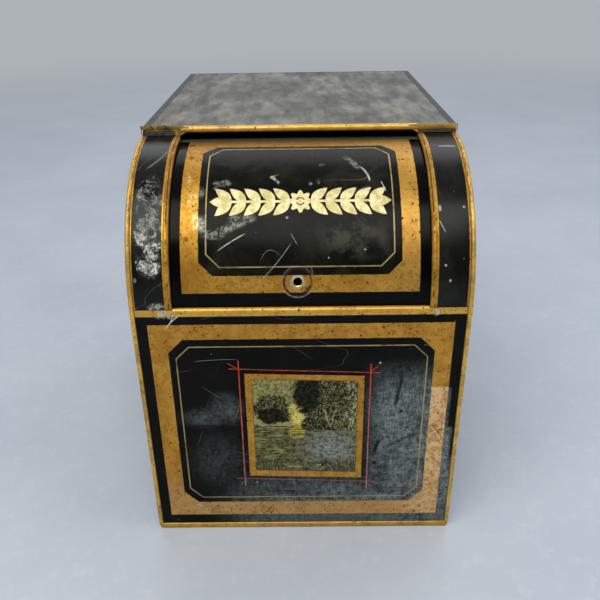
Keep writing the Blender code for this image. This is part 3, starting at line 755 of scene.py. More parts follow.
def lid_material():
    """The lid: gilt panel and line, a cream laurel spray, and the worn seat of the missing knob."""
    paint = Paint("lid_paint", specular=0.07)
    look = japan(paint, 0.28, 13, (0.050, 0.049, 0.026))
    tints = [
        ((0.40, 0.20, 0.030), 0.28),
        # Painted shade: the gilding darkens towards the top of the lid
        ((0.26, 0.132, 0.038), paint.v.ramp(84, 122) * 0.72),
        ((0.54, 0.31, 0.080), paint.u.ramp(20, 64) * 0.4),
    ]
    gold = gilding(paint, 15, 0.45, tints)
    outer = ((0.0, 67.35), (70.0, 56.9))
    inner = ((0.0, 67.35), (59.5, 46.45), 8.0)
    line = ((0.0, 68.2), (55.0, 42.2), 7.7)
    # The border outside the gilt band is painted a deeper black, a painted shade where it faces a dark
    # surround; above it lies a pale film, partly dust and partly painted light where light catches the lid
    # below the top bead
    border = cut_corner_box(paint, *outer).ramp(-2, 1)
    # Painted shade: the pitch coat makes the border a deeper black where it faces a dark surround
    pitch = look.coat((0.0016, 0.0016, 0.0016), 0.16)
    look = look.under(pitch, border * 0.85)
    # Partly dust and partly painted light: a pale strip above the gilt band where light catches the lid
    # below the top bead
    dust_and_lit_strip = paint.v.ramp(123.8, 125) * paint.v.ramp(139, 134)
    dust = look.coat((0.075, 0.080, 0.062), 0.6)
    look = look.under(dust, dust_and_lit_strip * 0.8)
    look, band = panel_paint(paint, look, gold, outer, inner, line, 70)

    tone = paint.cloud(0.38, 0.62, 5, 5, 0.68, 71)
    cream_colour = paint.blend((0.58, 0.49, 0.20), (0.82, 0.75, 0.42), tone)
    cream = gold.coat(cream_colour, 0.4, 0.15, 0.02)
    spray = edge_of(paint, garland(paint, (0.5, 65.3), 53.5, 8.8), 0.12, 0.12, 72)
    worn = paint.cloud(0.66, 0.72, 3, 5, 0.7, 73)
    look = look.under(cream, spray * (1 - worn * 0.8))

    # The knob's seat: dirt in the groove, metal on the ring, rubbed gold in the dish, and a bright lip
    # round the hole that is partly a painted highlight
    u = paint.u - KNOB_X / MM
    v = paint.v - math.radians(KNOB_ANGLE) * LID_RADIUS / MM
    radius = paint.math("SQRT", u * u + v * v)
    patchy = paint.cloud(0.36, 0.6, 2.6, 3, 0.6, 75)
    dirt = look.coat((0.030, 0.015, 0.006), 0.6, 0.1)
    metal = bare_metal(paint, 17)
    bright = look.coat((0.80, 0.66, 0.36), 0.28, 0.8)
    mauve = look.coat((0.30, 0.27, 0.26), 0.45, 0.5)
    groove = abs(radius - 8.1).ramp(0.95, 0.3) * (0.6 + patchy * 0.4)
    look = look.under(dirt, groove)
    tarnish = abs(radius - 6.4).ramp(0.5, 0.1) * patchy
    look = look.under(mauve, tarnish * band * 0.45)
    ring = abs(radius - 9.3).ramp(0.75, 0.2)
    low = v.ramp(-4, -7) * 0.7 + 0.3
    look = look.under(mauve, ring * (0.2 + patchy * 0.6) * low)
    dish = radius.ramp(5.4, 3.4) * (0.3 + patchy * 0.5)
    look = look.under(bright, dish * band)
    # Partly rubbed metal and partly a painted highlight: the bright lip round the hole
    lip = radius.ramp(3.9, 3.1)
    look = look.under(bright, lip)
    chip = paint.cloud(0.44, 0.52, 1.5, 5, 0.75, 78) * paint.near(2.6, 12.2, 3.2, 2.3, 0.6)
    look = look.under(dirt, chip)

    # Scuffs and scratches
    scuff = look.coat((0.34, 0.34, 0.27), 0.55, rise=-0.01)
    white = look.coat((0.58, 0.58, 0.50), 0.5, 0.1, -0.01)
    tatter = paint.cloud(0.47, 0.55, 4.0, 8, 0.76, 76, bend=0.6)
    shred = paint.cloud(0.43, 0.53, 1.5, 6, 0.78, 81, bend=0.5)
    smear = paint.most(
        paint.stroke((-59, 46.5), (-42, 46.5), 3.4, -1.5),
        paint.stroke((-49, 46), (-25, 57), 3.8),
        paint.near(-35, 55, 8, 3, 0.3),
        paint.near(-46, 78, 7, 3, 0.3) * 0.8,
        paint.stroke((-51, 73), (-41, 80), 1.6, 2) * 0.8,
        paint.near(-58.2, 71.5, 3.4, 5.5, 0.05) * 0.75,
        paint.near(6.5, 77.3, 1.7, 1.7, 0.2) * 0.9,
        paint.near(11.2, 78.8, 1.6, 2.6, 0.2) * 0.9,
        paint.near(14, 92.5, 3, 1.6, 0.3) * 0.7,
    )
    torn = (0.14 + tatter * 0.86) * (0.45 + shred * 0.55)
    look = look.under(scuff, smear * torn * (1 - spray))
    patch = paint.near(-58, 51.5, 3.8, 6.4, 0.2) * (0.25 + shred * 0.75) * (1 - band)
    look = look.under(white, patch * 0.9)
    grey = paint.near(32, 43, 30, 17, 0.2) * paint.cloud(0.42, 0.62, 9, 6, 0.7, 79)
    haze = look.coat((0.066, 0.066, 0.050), 0.5)
    look = look.under(haze, grey * (1 - band) * (1 - spray) * 0.8)
    lines = paint.most(
        paint.stroke((-49, 35), (-31, 46), 0.44, 0.5),
        paint.stroke((-26.5, 15), (-4, 41.5), 0.24, -1.2) * 0.7,
        paint.stroke((-23.5, 28), (-10, 31), 0.18, 6.4) * 0.5,
        paint.stroke((-18, 83.5), (-11.6, 76.8), 1.2, 0.6) * (0.1 + tatter * 0.7),
        paint.stroke((-17, 82.5), (-11.8, 85), 0.8) * (0.1 + tatter * 0.5),
        paint.stroke((26.5, 101), (36.5, 88), 2.6, 0.8) * (0.06 + tatter * 0.42),
        paint.stroke((36.5, 91), (42, 78), 0.9, 1.2) * 0.85,
        paint.stroke((48.4, 79), (51.2, 71), 0.5) * 0.9,
        paint.stroke((-5.6, 46), (-1.4, 38.4), 0.22) * 0.6,
        paint.stroke((6.4, 26), (7.5, 20.5), 0.20) * 0.5,
        paint.near(-7.4, 55, 1.0, 1.0, 0.5) * 0.9,
        paint.near(37.8, 35.6, 0.8, 0.6, 0.5) * 0.8,
        paint.near(16.6, 31, 0.6, 0.6, 0.5) * 0.8,
    )
    grit = paint.cloud(0.40, 0.55, 1.3, 4, 0.7, 80)
    look = look.under(white, lines * (0.45 + grit * 0.5))
    bright_rub = look.coat((0.88, 0.66, 0.30), 0.35, 0.4)
    rubs = paint.most(
        paint.near(-62.6, 67, 5, 6, 0.3),
        paint.near(-60.5, 53, 3.6, 8, 0.3),
        paint.near(-66, 82, 1.8, 5, 0.3),
        paint.near(-30, 15, 14, 2.4, 0.2) * 0.6,
    )
    look = look.under(bright_rub, rubs * tatter * band * 0.75)
    blots = paint.most(
        paint.near(-66.4, 41, 2.2, 4.4, 0.4) * tatter,
        paint.near(-67.4, 117.5, 2.6, 2.6, 0.5),
        paint.near(-66.5, 101, 1.6, 3.0, 0.5) * 0.6,
        paint.near(67.5, 74, 4.5, 8, 0.2) * tatter * 0.45,
    )
    look = look.under(dirt, blots * band * 0.75)
    gash = paint.most(
        paint.stroke((-48, 41), (-45.4, 53.5), 0.75, 0.5),
        paint.stroke((-54.5, 46.6), (-49.5, 48.5), 0.7, -0.6),
    )
    ink = look.coat((0.004, 0.004, 0.004), 0.3, rise=-0.02)
    look = look.under(ink, gash)
    edge = abs(paint.u).ramp(97.2, 98.3)
    edge = paint.most(edge, paint.v.ramp(1.5, -1.0) * 0.7)
    chips = (paint.noise(2.2, 5, 0.72, 77) + edge * 0.2).ramp(0.7, 0.76)
    look = look.under(metal, chips)
    return paint.finish(look)


def shoulder_material(name, seed, scuffs):
    """A shoulder strip: black with gilt margins; the left one is badly scuffed."""
    paint = Paint(name, specular=0.18)
    look = japan(paint, 0.2, seed, (0.05, 0.05, 0.036))
    gold = gilding(paint, seed + 2, 0.75)
    if scuffs:
        ragged = paint.noise(7.5, 9, 0.70, seed + 3, (1, 1, 1), 0.9)
        fine = paint.noise(1.3, 5, 0.75, seed + 6, (1, 1, 1.8))
        place = paint.most(
            paint.near(88, 31, 9, 13, 0.35),
            paint.near(87.5, 47, 10, 16, 0.6) * 0.8,
            paint.near(88, 68, 9.5, 20, 0.6) * 0.75,
            paint.near(85, 3, 7, 4.5, 0.5) * 0.9,
        )
        film = look.coat((0.085, 0.088, 0.074), 0.5)
        soft = ragged.ramp(0.36, 0.54) * (0.5 + fine.ramp(0.35, 0.6) * 0.5)
        look = look.under(film, place * soft)
        broken_up = paint.cloud(0.44, 0.52, 2.4, 7, 0.78, seed + 9, bend=0.7)
        bright = (ragged + place * 0.10).ramp(0.545, 0.59) * broken_up
        tint = paint.blend((0.20, 0.205, 0.18), (0.74, 0.74, 0.68), fine.ramp(0.40, 0.58))
        pale = look.coat(tint, 0.45, 0.15, -0.03)
        lower = paint.v.ramp(54, 36) * 0.66 + 0.34
        within = (place + (fine - 0.5) * 1.2 + (ragged - 0.5) * 1.2).ramp(0.28, 0.5)
        look = look.under(pale, bright * within * lower)
        pitch = look.coat((0.002, 0.002, 0.002), 0.12, rise=-0.01)
        craggy = paint.cloud(0.47, 0.50, 4.2, 8, 0.76, seed + 7, bend=0.8)
        upper = paint.near(88.5, 75, 8, 13, 0.6)
        look = look.under(pitch, craggy * upper)
        slivers = paint.cloud(0.60, 0.63, 3.4, 6, 0.7, seed + 8, (1, 2.2, 1))
        look = look.under(pitch, slivers * paint.near(88, 52, 9, 28, 0.6) * 0.9)
        scrape = paint.stroke((92.5, 90), (80, 110), 0.9, 1.5)
        grey = look.coat((0.16, 0.155, 0.125), 0.5)
        look = look.under(grey, paint.most(scrape * 0.7, paint.near(96.3, 20.3, 1.1, 1.8, 0.5)))
    else:
        marks = paint.most(
            paint.stroke((85, 109.8), (97, 109.4), 0.7, 0.5),
            paint.stroke((80.3, 54), (84.2, 46), 0.35),
            paint.near(95.2, 61.4, 0.9, 0.9, 0.5),
            paint.near(84.1, 27.2, 0.9, 0.9, 0.5),
            paint.near(87, 18.2, 0.8, 1.1, 0.5),
            paint.near(81.3, 60.8, 1.2, 2.6, 0.4),
        )
        pale = look.coat((0.46, 0.46, 0.40), 0.5)
        look = look.under(pale, marks * 0.85)
    inner, outer = SHOULDER_GILT_MM
    margin = paint.most(inner - paint.u, paint.u - outer)
    # 1 on the gilt side of each hand-painted margin
    gilt = edge_of(paint, 0.0 - margin, 0.12, 0.5, seed + 4)
    look = look.under(gold, gilt)
    dirt = look.coat((0.03, 0.018, 0.008), 0.6, 0.1, -0.02)
    crack = abs(paint.u - SHOULDER_CRACK_MM).ramp(0.75, 0.25)
    broken = paint.noise(4, 4, 0.7, seed + 5, (1, 1, 1.6)) + paint.v.ramp(50, 64) * 0.14
    look = look.under(dirt, crack * broken.ramp(0.5, 0.62) * 0.9)
    return paint.finish(look)


def seam_material(name, seed, wear, front_only=False):
    """Gilt folded seams: worn and grimy, rubbed to metal in places."""
    paint = Paint(name, specular=0.4)
    # Painted light in part: the top bead and side seams get a brighter gilt tint; the foot's bead gets a
    # duller one
    tint = (0.60, 0.355, 0.055) if front_only else (0.90, 0.57, 0.125)
    gold = gilding(paint, seed, 0.5, [(tint, 0.55)])
    olive = gold.coat((0.20, 0.155, 0.05), 0.5, 0.35)
    patch = paint.cloud(0.42, 0.64, 13, 5, 0.66, seed + 1)
    look = gold.under(olive, patch * wear)
    if front_only:
        # The gilding stops just round the front corners, and the rest is black
        black = japan(paint, 0.3, seed + 5)
        behind = edge_of(paint, paint.y * -1 - (-FRONT / MM - 5.0), 0.6, 3, seed + 6, 6)
        look = look.under(black, behind)
    metal = bare_metal(paint, seed + 2)
    chips = paint.cloud(0.66, 0.72, 2.8, 5, 0.74, seed + 3)
    look = look.under(metal, chips * wear)
    dirt = look.coat((0.012, 0.010, 0.007), 0.5, rise=-0.02)
    # The fold opens a little along its inner edge round the curve
    split = abs(abs(paint.u) - (SEAM_INNER_X / MM + 0.75)).ramp(0.45, 0.15)
    curve = paint.v.ramp(215, 236) * paint.cloud(0.42, 0.54, 5, 4, 0.7, seed + 8)
    look = look.under(dirt, split * curve * 0.8)
    grime = paint.cloud(0.60, 0.68, 3.6, 5, 0.72, seed + 4)
    look = look.under(dirt, grime * wear)
    return paint.finish(look)


def fascia_material():
    """The strip under the top's front corners: gilt above, bare and grey in the seam below."""
    paint = Paint("fascia_paint", specular=0.4)
    gold = gilding(paint, 91, 0.7, [((0.80, 0.52, 0.13), 0.5)])
    right = paint.x.ramp(-10, 10)
    step = FASCIA_BOTTOM_Z / MM + paint.lerp(FASCIA_SEAM_LEFT / MM, FASCIA_SEAM_RIGHT / MM, right)
    grey = gold.coat((0.085, 0.082, 0.072), 0.45, 0.3)
    left = 1 - right
    inset = abs(paint.x) - left * (FASCIA_CORNER / MM) - (OPENING_HALF / MM - 0.3)
    lower = paint.least(edge_of(paint, paint.z - step, 0.2, 0.5, 92), inset.ramp(0.0, 1.2))
    olive = gold.coat((0.17, 0.135, 0.045), 0.5, 0.2)
    patch = paint.cloud(0.42, 0.56, 5, 5, 0.7, 94)
    gold = gold.under(olive, patch * (0.2 + left * 0.6))
    look = gold.under(grey, lower)
    dirt = look.coat((0.02, 0.014, 0.008), 0.5, 0.1, -0.02)
    grime = paint.cloud(0.50, 0.58, 2.6, 6, 0.78, 93)
    look = look.under(dirt, grime * left * abs(paint.x).ramp(80, 84) * 0.85)
    look = look.under(dirt, grime * 0.25)
    return paint.finish(look)


def wall_material(name, seed, haze, axis="X"):
    """Plain japanned walls: cloudy varnish, handling scuffs, scratches and chipped edges."""
    paint = Paint(name, specular=0.4)
    look = japan(paint, haze, seed)
    height = look.height
    rub = paint.cloud(0.55, 0.75, 30, 6, 0.7, seed + 2)
    brushed = paint.noise(7, 4, 0.7, seed + 3, (1, 2.5, 0.5))
    dull = paint.look((0.055, 0.054, 0.048), 0.5, 0.0, height)
    look = look.under(dull, rub * brushed.ramp(0.35, 0.65) * 0.8)
    brown = paint.look((0.060, 0.026, 0.012), 0.6, 0.1, height)
    flakes = paint.cloud(0.69, 0.75, 5, 6, 0.76, seed + 4)
    look = look.under(brown, flakes)
    pale = paint.look((0.32, 0.30, 0.26), 0.45, 0.4, height - 0.01)
    patchy = paint.cloud(0.45, 0.60, 55, 3, 0.6, seed + 8)
    look = look.under(pale, paint.scratches(0.016, axis, seed + 5) * patchy * 0.6)
    low = paint.z.ramp(22, 5) * 0.14
    nicks = (paint.noise(2.4, 5, 0.72, seed + 6) + low).ramp(0.71, 0.77)
    look = look.under(bare_metal(paint, seed + 7), nicks)
    return paint.finish(look)


def top_material():
    """The top: varnish dulled to grey by years of use, its grey partly a painted reflection of the wall
    behind, streaked front to back, darker at the seams.
    """
    paint = Paint("top_paint", specular=0.5)
    look = japan(paint, 0.5, 21)
    height = look.height
    streak = paint.noise(9, 5, 0.66, 22, (1, 4, 1))
    cloud = paint.noise(48, 4, 0.6, 23)
    # Partly worn varnish and partly a painted reflection of the wall behind: the top's grey
    grey = paint.blend((0.115, 0.110, 0.093), (0.345, 0.33, 0.285), streak.ramp(0.3, 0.7))
    worn = paint.look(grey, 0.34 + cloud * 0.18, 0.25, height)
    edge = abs(paint.x) - (HALF_WIDTH / MM - 4.6)
    field = edge_of(paint, edge, 0.5, 0.8, 24)
    back = paint.y.ramp(BACK / MM - 1.5, BACK / MM - 4)
    share = field * back * (0.45 + cloud.ramp(0.35, 0.6) * 0.4)
    look = look.under(worn, share)
    rim = paint.look((0.050, 0.047, 0.040), 0.4, 0.0, height)
    look = look.under(rim, (1 - field) * 0.8)
    pale = paint.look((0.30, 0.29, 0.27), 0.4, 0.3, height - 0.01)
    look = look.under(pale, paint.scratches(0.02, "Z", 26) * 0.5)
    rust = paint.look((0.07, 0.035, 0.018), 0.65, 0.05, height)
    look = look.under(rust, paint.cloud(0.70, 0.76, 4, 6, 0.75, 27))
    metal = bare_metal(paint, 28)
    corner = abs(paint.x).ramp(HALF_WIDTH / MM - 1.2, HALF_WIDTH / MM - 0.2)
    corner = corner * paint.z.ramp(TOP / MM - 1.8, TOP / MM - 0.6)
    nicks = (paint.noise(2.2, 5, 0.7, 29) + corner * 0.16).ramp(0.66, 0.72)
    look = look.under(metal, nicks * 0.9)
    return paint.finish(look)


# ---------------------------------------------------------------- geometry


def spread(start, end, step):
    """Even values from start to end, no further apart than step."""
    count = max(1, math.ceil(abs(end - start) / step - 1e-9))
    return [start + (end - start) * i / count for i in range(count + 1)]


def dent(x, y, z, size, depth, seed=0):
    """A slow unevenness of hand-worked sheet, up to about depth either way."""
    at = Vector((x / size + seed * 7.3, y / size + seed * 2.1, z / size - seed * 4.9))
    return depth * (noise.noise(at) + 0.5 * noise.noise(at * 2.3))


def fade(distance, reach):
    """0 at an edge and 1 beyond reach of it."""
    t = min(max(distance / reach, 0), 1)
    return t * t * (3 - 2 * t)


def arc_points(centre, radius, start, end, steps):
    """(a, b, outward a, outward b) along an arc between two angles in degrees."""
    points = []
    for i in range(steps + 1):
        turn = math.radians(start + (end - start) * i / steps)
        out_a, out_b = math.cos(turn), math.sin(turn)
        points.append((centre[0] + radius * out_a, centre[1] + radius * out_b, out_a, out_b))
    return points


class Profile:
    """A section line of a sheet: points with their outward directions, by distance along it."""

    def __init__(self, points, start=0.0):
        self.points = points
        self.marks = [start]
        for (a0, b0, *_), (a1, b1, *_) in zip(points, points[1:]):
            self.marks.append(self.marks[-1] + math.hypot(a1 - a0, b1 - b0))
        self.found = dict(zip(self.marks, points))

    def at(self, mark):
        return self.found[mark]


def mesh_object(name, verts, faces, kinds, maps, materials, crease=35):
    """An object from closed faces, each of a material kind, with the sheet map on every corner."""
    mesh = bpy.data.meshes.new(name)
    mesh.from_pydata(verts, [], faces)
    for material in materials:
        mesh.materials.append(material)
    mesh.polygons.foreach_set("material_index", kinds)
    layer = mesh.uv_layers.new(name="Sheet")
    for loop in mesh.loops:
        layer.data[loop.index].uv = maps[loop.vertex_index]
    bm = bmesh.new()
    bm.from_mesh(mesh)
    bmesh.ops.delete(bm, geom=[v for v in bm.verts if not v.link_faces], context="VERTS")
    bmesh.ops.recalc_face_normals(bm, faces=bm.faces)
    bm.to_mesh(mesh)
    bm.free()
    mesh.shade_smooth()
    mesh.set_sharp_from_angle(angle=math.radians(crease))
    obj = bpy.data.objects.new(name, mesh)
    bpy.context.scene.collection.objects.link(obj)
    return obj


def sheet(name, us, vs, surface, materials, thickness=SHEET, skip=None, crease=35):
    """A closed shell over a grid. surface(u, v) gives a point, the outward way and its map place."""
    columns, rows = len(us), len(vs)
    verts, inner, maps = [], [], []
    for v in vs:
        for u in us:
            point, outward, place = surface(u, v)
            verts.append(point)
            inner.append([p - thickness * n for p, n in zip(point, outward)])
            maps.append(place)
    count = len(verts)
    verts = verts + inner
    maps = maps + maps
    kept = set()
    for j in range(rows - 1):
        for i in range(columns - 1):
            mid_u, mid_v = (us[i] + us[i + 1]) / 2, (vs[j] + vs[j + 1]) / 2
            if skip is None or not skip(mid_u, mid_v):
                kept.add((i, j))
    faces, kinds = [], []
    for i, j in sorted(kept):
        loop = [j * columns + i, j * columns + i + 1, (j + 1) * columns + i + 1, (j + 1) * columns + i]
        faces.append(loop)
        kinds.append(0)
        faces.append([count + k for k in reversed(loop)])
        kinds.append(1)
        beside = ((i, j - 1), (i + 1, j), (i, j + 1), (i - 1, j))
        for k, neighbour in enumerate(beside):
            if neighbour not in kept:
                a, b = loop[k], loop[(k + 1) % 4]
                faces.append([b, a, count + a, count + b])
                kinds.append(1)
    return mesh_object(name, verts, faces, kinds, maps, materials, crease)


def on_arc(x, radius, angle, out_x=0.0, out_r=1.0):
    """A point and outward way about the lid's axis. 0 degrees is straight ahead, 90 straight up."""
    c, s = math.cos(angle), math.sin(angle)
    return (x, AXIS_Y - radius * c, AXIS_Z + radius * s), (out_x, -out_r * c, out_r * s)


def front_sheet(materials):
    """The front sheet, its upper edge rolled over the wire across the opening."""
    centre = (FRONT_WIRE.y, FRONT_WIRE.z)
    join = 180 + math.degrees(math.acos((FRONT_WIRE.y - FRONT_FACE_Y) / FRONT_ROLL))
    join_z = FRONT_WIRE.z + FRONT_ROLL * math.sin(math.radians(join))
    flat = [(FRONT_FACE_Y, z, -1, 0) for z in spread(WALL_BASE_Z, join_z - 0.6 * MM, FRONT_STEP)]
    roll = arc_points(centre, FRONT_ROLL, join, -60, 16)
    profile = Profile(flat + roll, WALL_BASE_Z)
    end = OPENING_HALF - GAP

    def surface(x, v):
        y, z, out_y, out_z = profile.at(v)
        edge = min(end + 22 * MM - abs(x), z - WALL_BASE_Z)
        drop = dent(x, y, z, 70 * MM, 0.22 * MM, 3) * fade(edge, 14 * MM) * fade(join_z - z, 14 * MM)
        return (x, y + drop, z), (0, out_y, out_z), (x, v)

    xs = spread(-end, end, FRONT_STEP)
    return sheet("front_sheet", xs, profile.marks, surface, materials)


def front_tab(side, materials):
    """The flat end of the front sheet outside the opening, running up under the shoulder."""

    def surface(x, z):
        return (side * x, FRONT_FACE_Y, z), (0, -1, 0), (side * x, z)

    xs = spread(OPENING_HALF - GAP, SKIN_EDGE_X, 3 * MM)
    zs = spread(WALL_BASE_Z, TAB_TOP_Z, FRONT_STEP)
    return sheet(handed(side, "front_tab"), xs, zs, surface, materials)


def knob_seat(r):
    """Height of the lid's skin at distance r from the knob's hole."""
    dish = -0.9 * MM * fade(7.6 * MM - r, 4.2 * MM)
    ridge = 0.16 * MM * fade(0.9 * MM - abs(r - 8.9 * MM), 0.9 * MM)
    groove = -0.18 * MM * fade(0.6 * MM - abs(r - 8.0 * MM), 0.6 * MM)
    lip = -0.35 * MM * fade(3.3 * MM - r, 0.7 * MM)
    return dish + ridge + groove + lip


def lid_sheet(materials):
    """The curved lid sheet with its lower edge rolled inward, and the dished seat of the knob."""
    turn = 180 - LID_ROLL_ANGLE
    centre = (LID_WIRE.y, LID_WIRE.z)
    knob_v = LID_RADIUS * math.radians(KNOB_ANGLE)
    join = LID_RADIUS * math.radians(LID_ROLL_ANGLE)
    reach = KNOB_CELL * KNOB_CELLS
    ticks = spread(-reach, reach, KNOB_CELL)
    curl = Profile(arc_points(centre, LID_ROLL, turn + 290, turn, 18))
    shift = join - curl.marks[-1]
    rolled = {mark + shift: point for mark, point in zip(curl.marks[:-1], curl.points)}
    top = LID_RADIUS * math.radians(LID_TOP_ANGLE)
    vs = sorted(rolled)
    vs += spread(join, knob_v - reach, 1.2 * MM)[:-1]
    vs += [knob_v + t for t in ticks]
    vs += spread(knob_v + reach, top, 2.6 * MM)[1:]
    us = spread(-SKIN_EDGE_X, KNOB_X - reach, 3.2 * MM)[:-1]
    us += [KNOB_X + t for t in ticks]
    us += spread(KNOB_X + reach, SKIN_EDGE_X, 3.2 * MM)[1:]

    def rounded(u, v):
        """Turns the square rings of the grid about the hole into round ones."""
        p, q = (u - KNOB_X) / reach, (v - knob_v) / reach
        ring = max(abs(p), abs(q))
        if ring < 1e-6 or ring >= 1 - 1e-6:
            return u, v
        length = math.hypot(p, q)
        round_share = 1 - fade(ring - 0.72, 0.28)
        scale = 1 + round_share * (ring / length - 1)
        return KNOB_X + p * scale * reach, knob_v + q * scale * reach

    def surface(u, v):
        if v in rolled:
            y, z, out_y, out_z = rolled[v]
            return (u, y, z), (0, out_y, out_z), (u, v)
        x, s = rounded(u, v)
        angle = s / LID_RADIUS
        edge = min(SKIN_EDGE_X - abs(x), s - join)
        uneven = dent(x, s, 0, 46 * MM, 0.16 * MM, 5) * fade(edge, 12 * MM)
        radius = LID_RADIUS + uneven + knob_seat(math.hypot(x - KNOB_X, s - knob_v))
        point, outward = on_arc(x, radius, angle)
        return point, outward, (x, s)

    def skip(u, v):
        return max(abs(u - KNOB_X), abs(v - knob_v)) < KNOB_HOLE

    return sheet("lid_sheet", us, vs, surface, materials, skip=skip, crease=50)


def shoulder_sheet(side, materials):
    """A fixed curved strip beside the opening, its inner edge rolled over a wire."""
    centre = (SHOULDER_ROLL_X, SHOULDER_ROLL_ORBIT)
    join = math.degrees(math.asin((SHOULDER_RADIUS - SHOULDER_ROLL_ORBIT) / SHOULDER_ROLL))
    join_x = SHOULDER_ROLL_X + SHOULDER_ROLL * math.cos(math.radians(join))
    flat = [(x, SHOULDER_RADIUS, 0, 1) for x in spread(SKIN_EDGE_X, join_x + 0.7 * MM, 2.4 * MM)]
    profile = Profile(flat + arc_points(centre, SHOULDER_ROLL, join, 335, 18))
    start = math.asin((TAB_TOP_Z + GAP - AXIS_Z) / SHOULDER_RADIUS) + math.radians(0.15)
    angles = spread(start, math.radians(89.7), math.radians(1.5))

    def surface(mark, angle):
        x, radius, out_x, out_r = profile.at(mark)
        flatness = fade(x - join_x - MM, 5 * MM) * fade(SKIN_EDGE_X - x, 5 * MM)
        uneven = dent(x * side, angle * radius, 0, 24 * MM, 0.16 * MM, 8) * flatness
        point, outward = on_arc(side * x, radius + uneven, angle, side * out_x, out_r)
        return point, outward, (SKIN_EDGE_X - mark, angle * SHOULDER_RADIUS)

    return sheet(handed(side, "shoulder_sheet"), profile.marks, angles, surface, materials)


def rim(side, materials):
    """The folded seam down one side: a proud bead round the corner that flattens on the front."""
    width = HALF_WIDTH - SEAM_INNER_X
    ts = [0.0, 0.03, 0.08, 0.16, 0.26, 0.38, 0.5, 0.62, 0.74, 0.84, 0.92, 0.97, 1.0]
    arc_length = CORNER_RADIUS * math.radians(89.8)
    leg = AXIS_Z - WALL_BASE_Z
    marks = spread(-leg, 0, 4 * MM)[:-1] + spread(0, arc_length, 1.6 * MM)

    def surface(t, s):
        curved = fade(s + 6 * MM, 16 * MM)
        round_top = math.sqrt(max(0, 1 - (2 * t - 1) ** 2))
        soft_box = min(1, 0.55 + 3.2 * min(t, 1 - t) * 2)
        dip = (1 - (curved * round_top + (1 - curved) * soft_box)) * 1.25 * MM
        wobble = dent(0, s, side * 0.1, 17 * MM, 0.10 * MM, 11)
        radius = CORNER_RADIUS - 0.12 * MM - dip + wobble
        x = side * (SEAM_INNER_X + t * width)
        if s >= 0:
            point, outward = on_arc(x, radius, s / CORNER_RADIUS)
        else:
            point, outward = (x, AXIS_Y - radius, AXIS_Z + s), (0, -1, 0)
        return point, outward, (x, s + AXIS_Z)

    return sheet(handed(side, "rim"), ts, marks, surface, materials, RIM_SHEET)


def bent(distance, flat, radius):
    """Where a sheet bent down at its edge has got to: place, drop, and the way its face turns."""
    quarter = radius * math.pi / 2
    if distance <= flat:
        return distance, 0.0, 0.0
    if distance <= flat + quarter:
        turn = (distance - flat) / radius
        return flat + radius * math.sin(turn), radius * (1 - math.cos(turn)), turn
    return flat + radius, radius + distance - flat - quarter, math.pi / 2


def bend_marks(flat, radius, depth, step):
    """Distances along such a sheet: its flat part, its bend, and its flange."""
    quarter = radius * math.pi / 2
    return (
        spread(0, flat, step)
        + spread(flat, flat + quarter, quarter / 4)[1:]
        + spread(flat + quarter, flat + quarter + depth - radius, 1.6 * MM)[1:]
    )


def mirrored(marks):
    return [-m for m in reversed(marks[1:])] + marks


def top_sheet(materials):
    """The top with its side and back edges turned down, each edge a low folded band."""
    radius = BEND_RADIUS
    depth = TOP - FASCIA_BOTTOM_Z
    flat_x = HALF_WIDTH - radius
    flat_y = BACK - radius - FASCIA_Y
    us = mirrored(bend_marks(flat_x, radius, depth, 3.2 * MM))
    band = [flat_x - 4.2 * MM, flat_x - 3.8 * MM]
    us = sorted(set(us) | set(band) | {-b for b in band})
    vs = bend_marks(flat_y, radius, depth, 4 * MM)
    fold_y = flat_y - 3.6 * MM
    setback = TOP_WIRE.y + MM - FASCIA_Y
    tip_x = OPENING_HALF - GUSSET_WIDTH
    vs = sorted(set(vs) | {setback, fold_y, fold_y - 0.4 * MM})
    us = sorted(set(us) | {tip_x, -tip_x})

    def surface(u, v):
        x, drop_x, turn_x = bent(abs(u), flat_x, radius)
        y, drop_y, turn_y = bent(v, flat_y, radius)
        side = math.copysign(1, u)
        sunk = 0.4 * MM * fade(flat_x - 3.8 * MM - abs(u), 0.4 * MM) * fade(fold_y - v, 0.4 * MM)
        inland = min(flat_x - 4 * MM - abs(u), v, fold_y - v)
        uneven = dent(x * side, y, 0, 80 * MM, 0.3 * MM, 2) * fade(inland, 16 * MM)
        z = TOP - drop_x - drop_y - sunk - abs(uneven)
        outward = (
            side * math.sin(turn_x),
            math.sin(turn_y),
            math.cos(turn_x) * math.cos(turn_y),
        )
        return (side * x, FASCIA_Y + y, z), outward, (u, v)

    def skip(u, v):
        if v < setback and abs(u) < tip_x:
            return True
        quarter = radius * math.pi / 2
        return abs(u) > flat_x and v > flat_y and (abs(u) > flat_x + quarter or v > flat_y + quarter)

    return sheet("top_sheet", us, vs, surface, materials, skip=skip)


def top_bead(materials):
    """The top's front edge rolled over its wire across the opening."""
    centre = (TOP_WIRE.y, TOP_WIRE.z + TOP_ROLL_RISE)
    profile = Profile(arc_points(centre, TOP_ROLL, 38, 378, 26))
    end = OPENING_HALF - GAP

    def surface(x, mark):
        y, z, out_y, out_z = profile.at(mark)
        sway = dent(x, 0, 0, 30 * MM, 0.08 * MM, 6)
        return (x, y, z + sway), (0, out_y, out_z), (x, mark)

    return sheet("top_bead", spread(-end, end, 3 * MM), profile.marks, surface, materials)


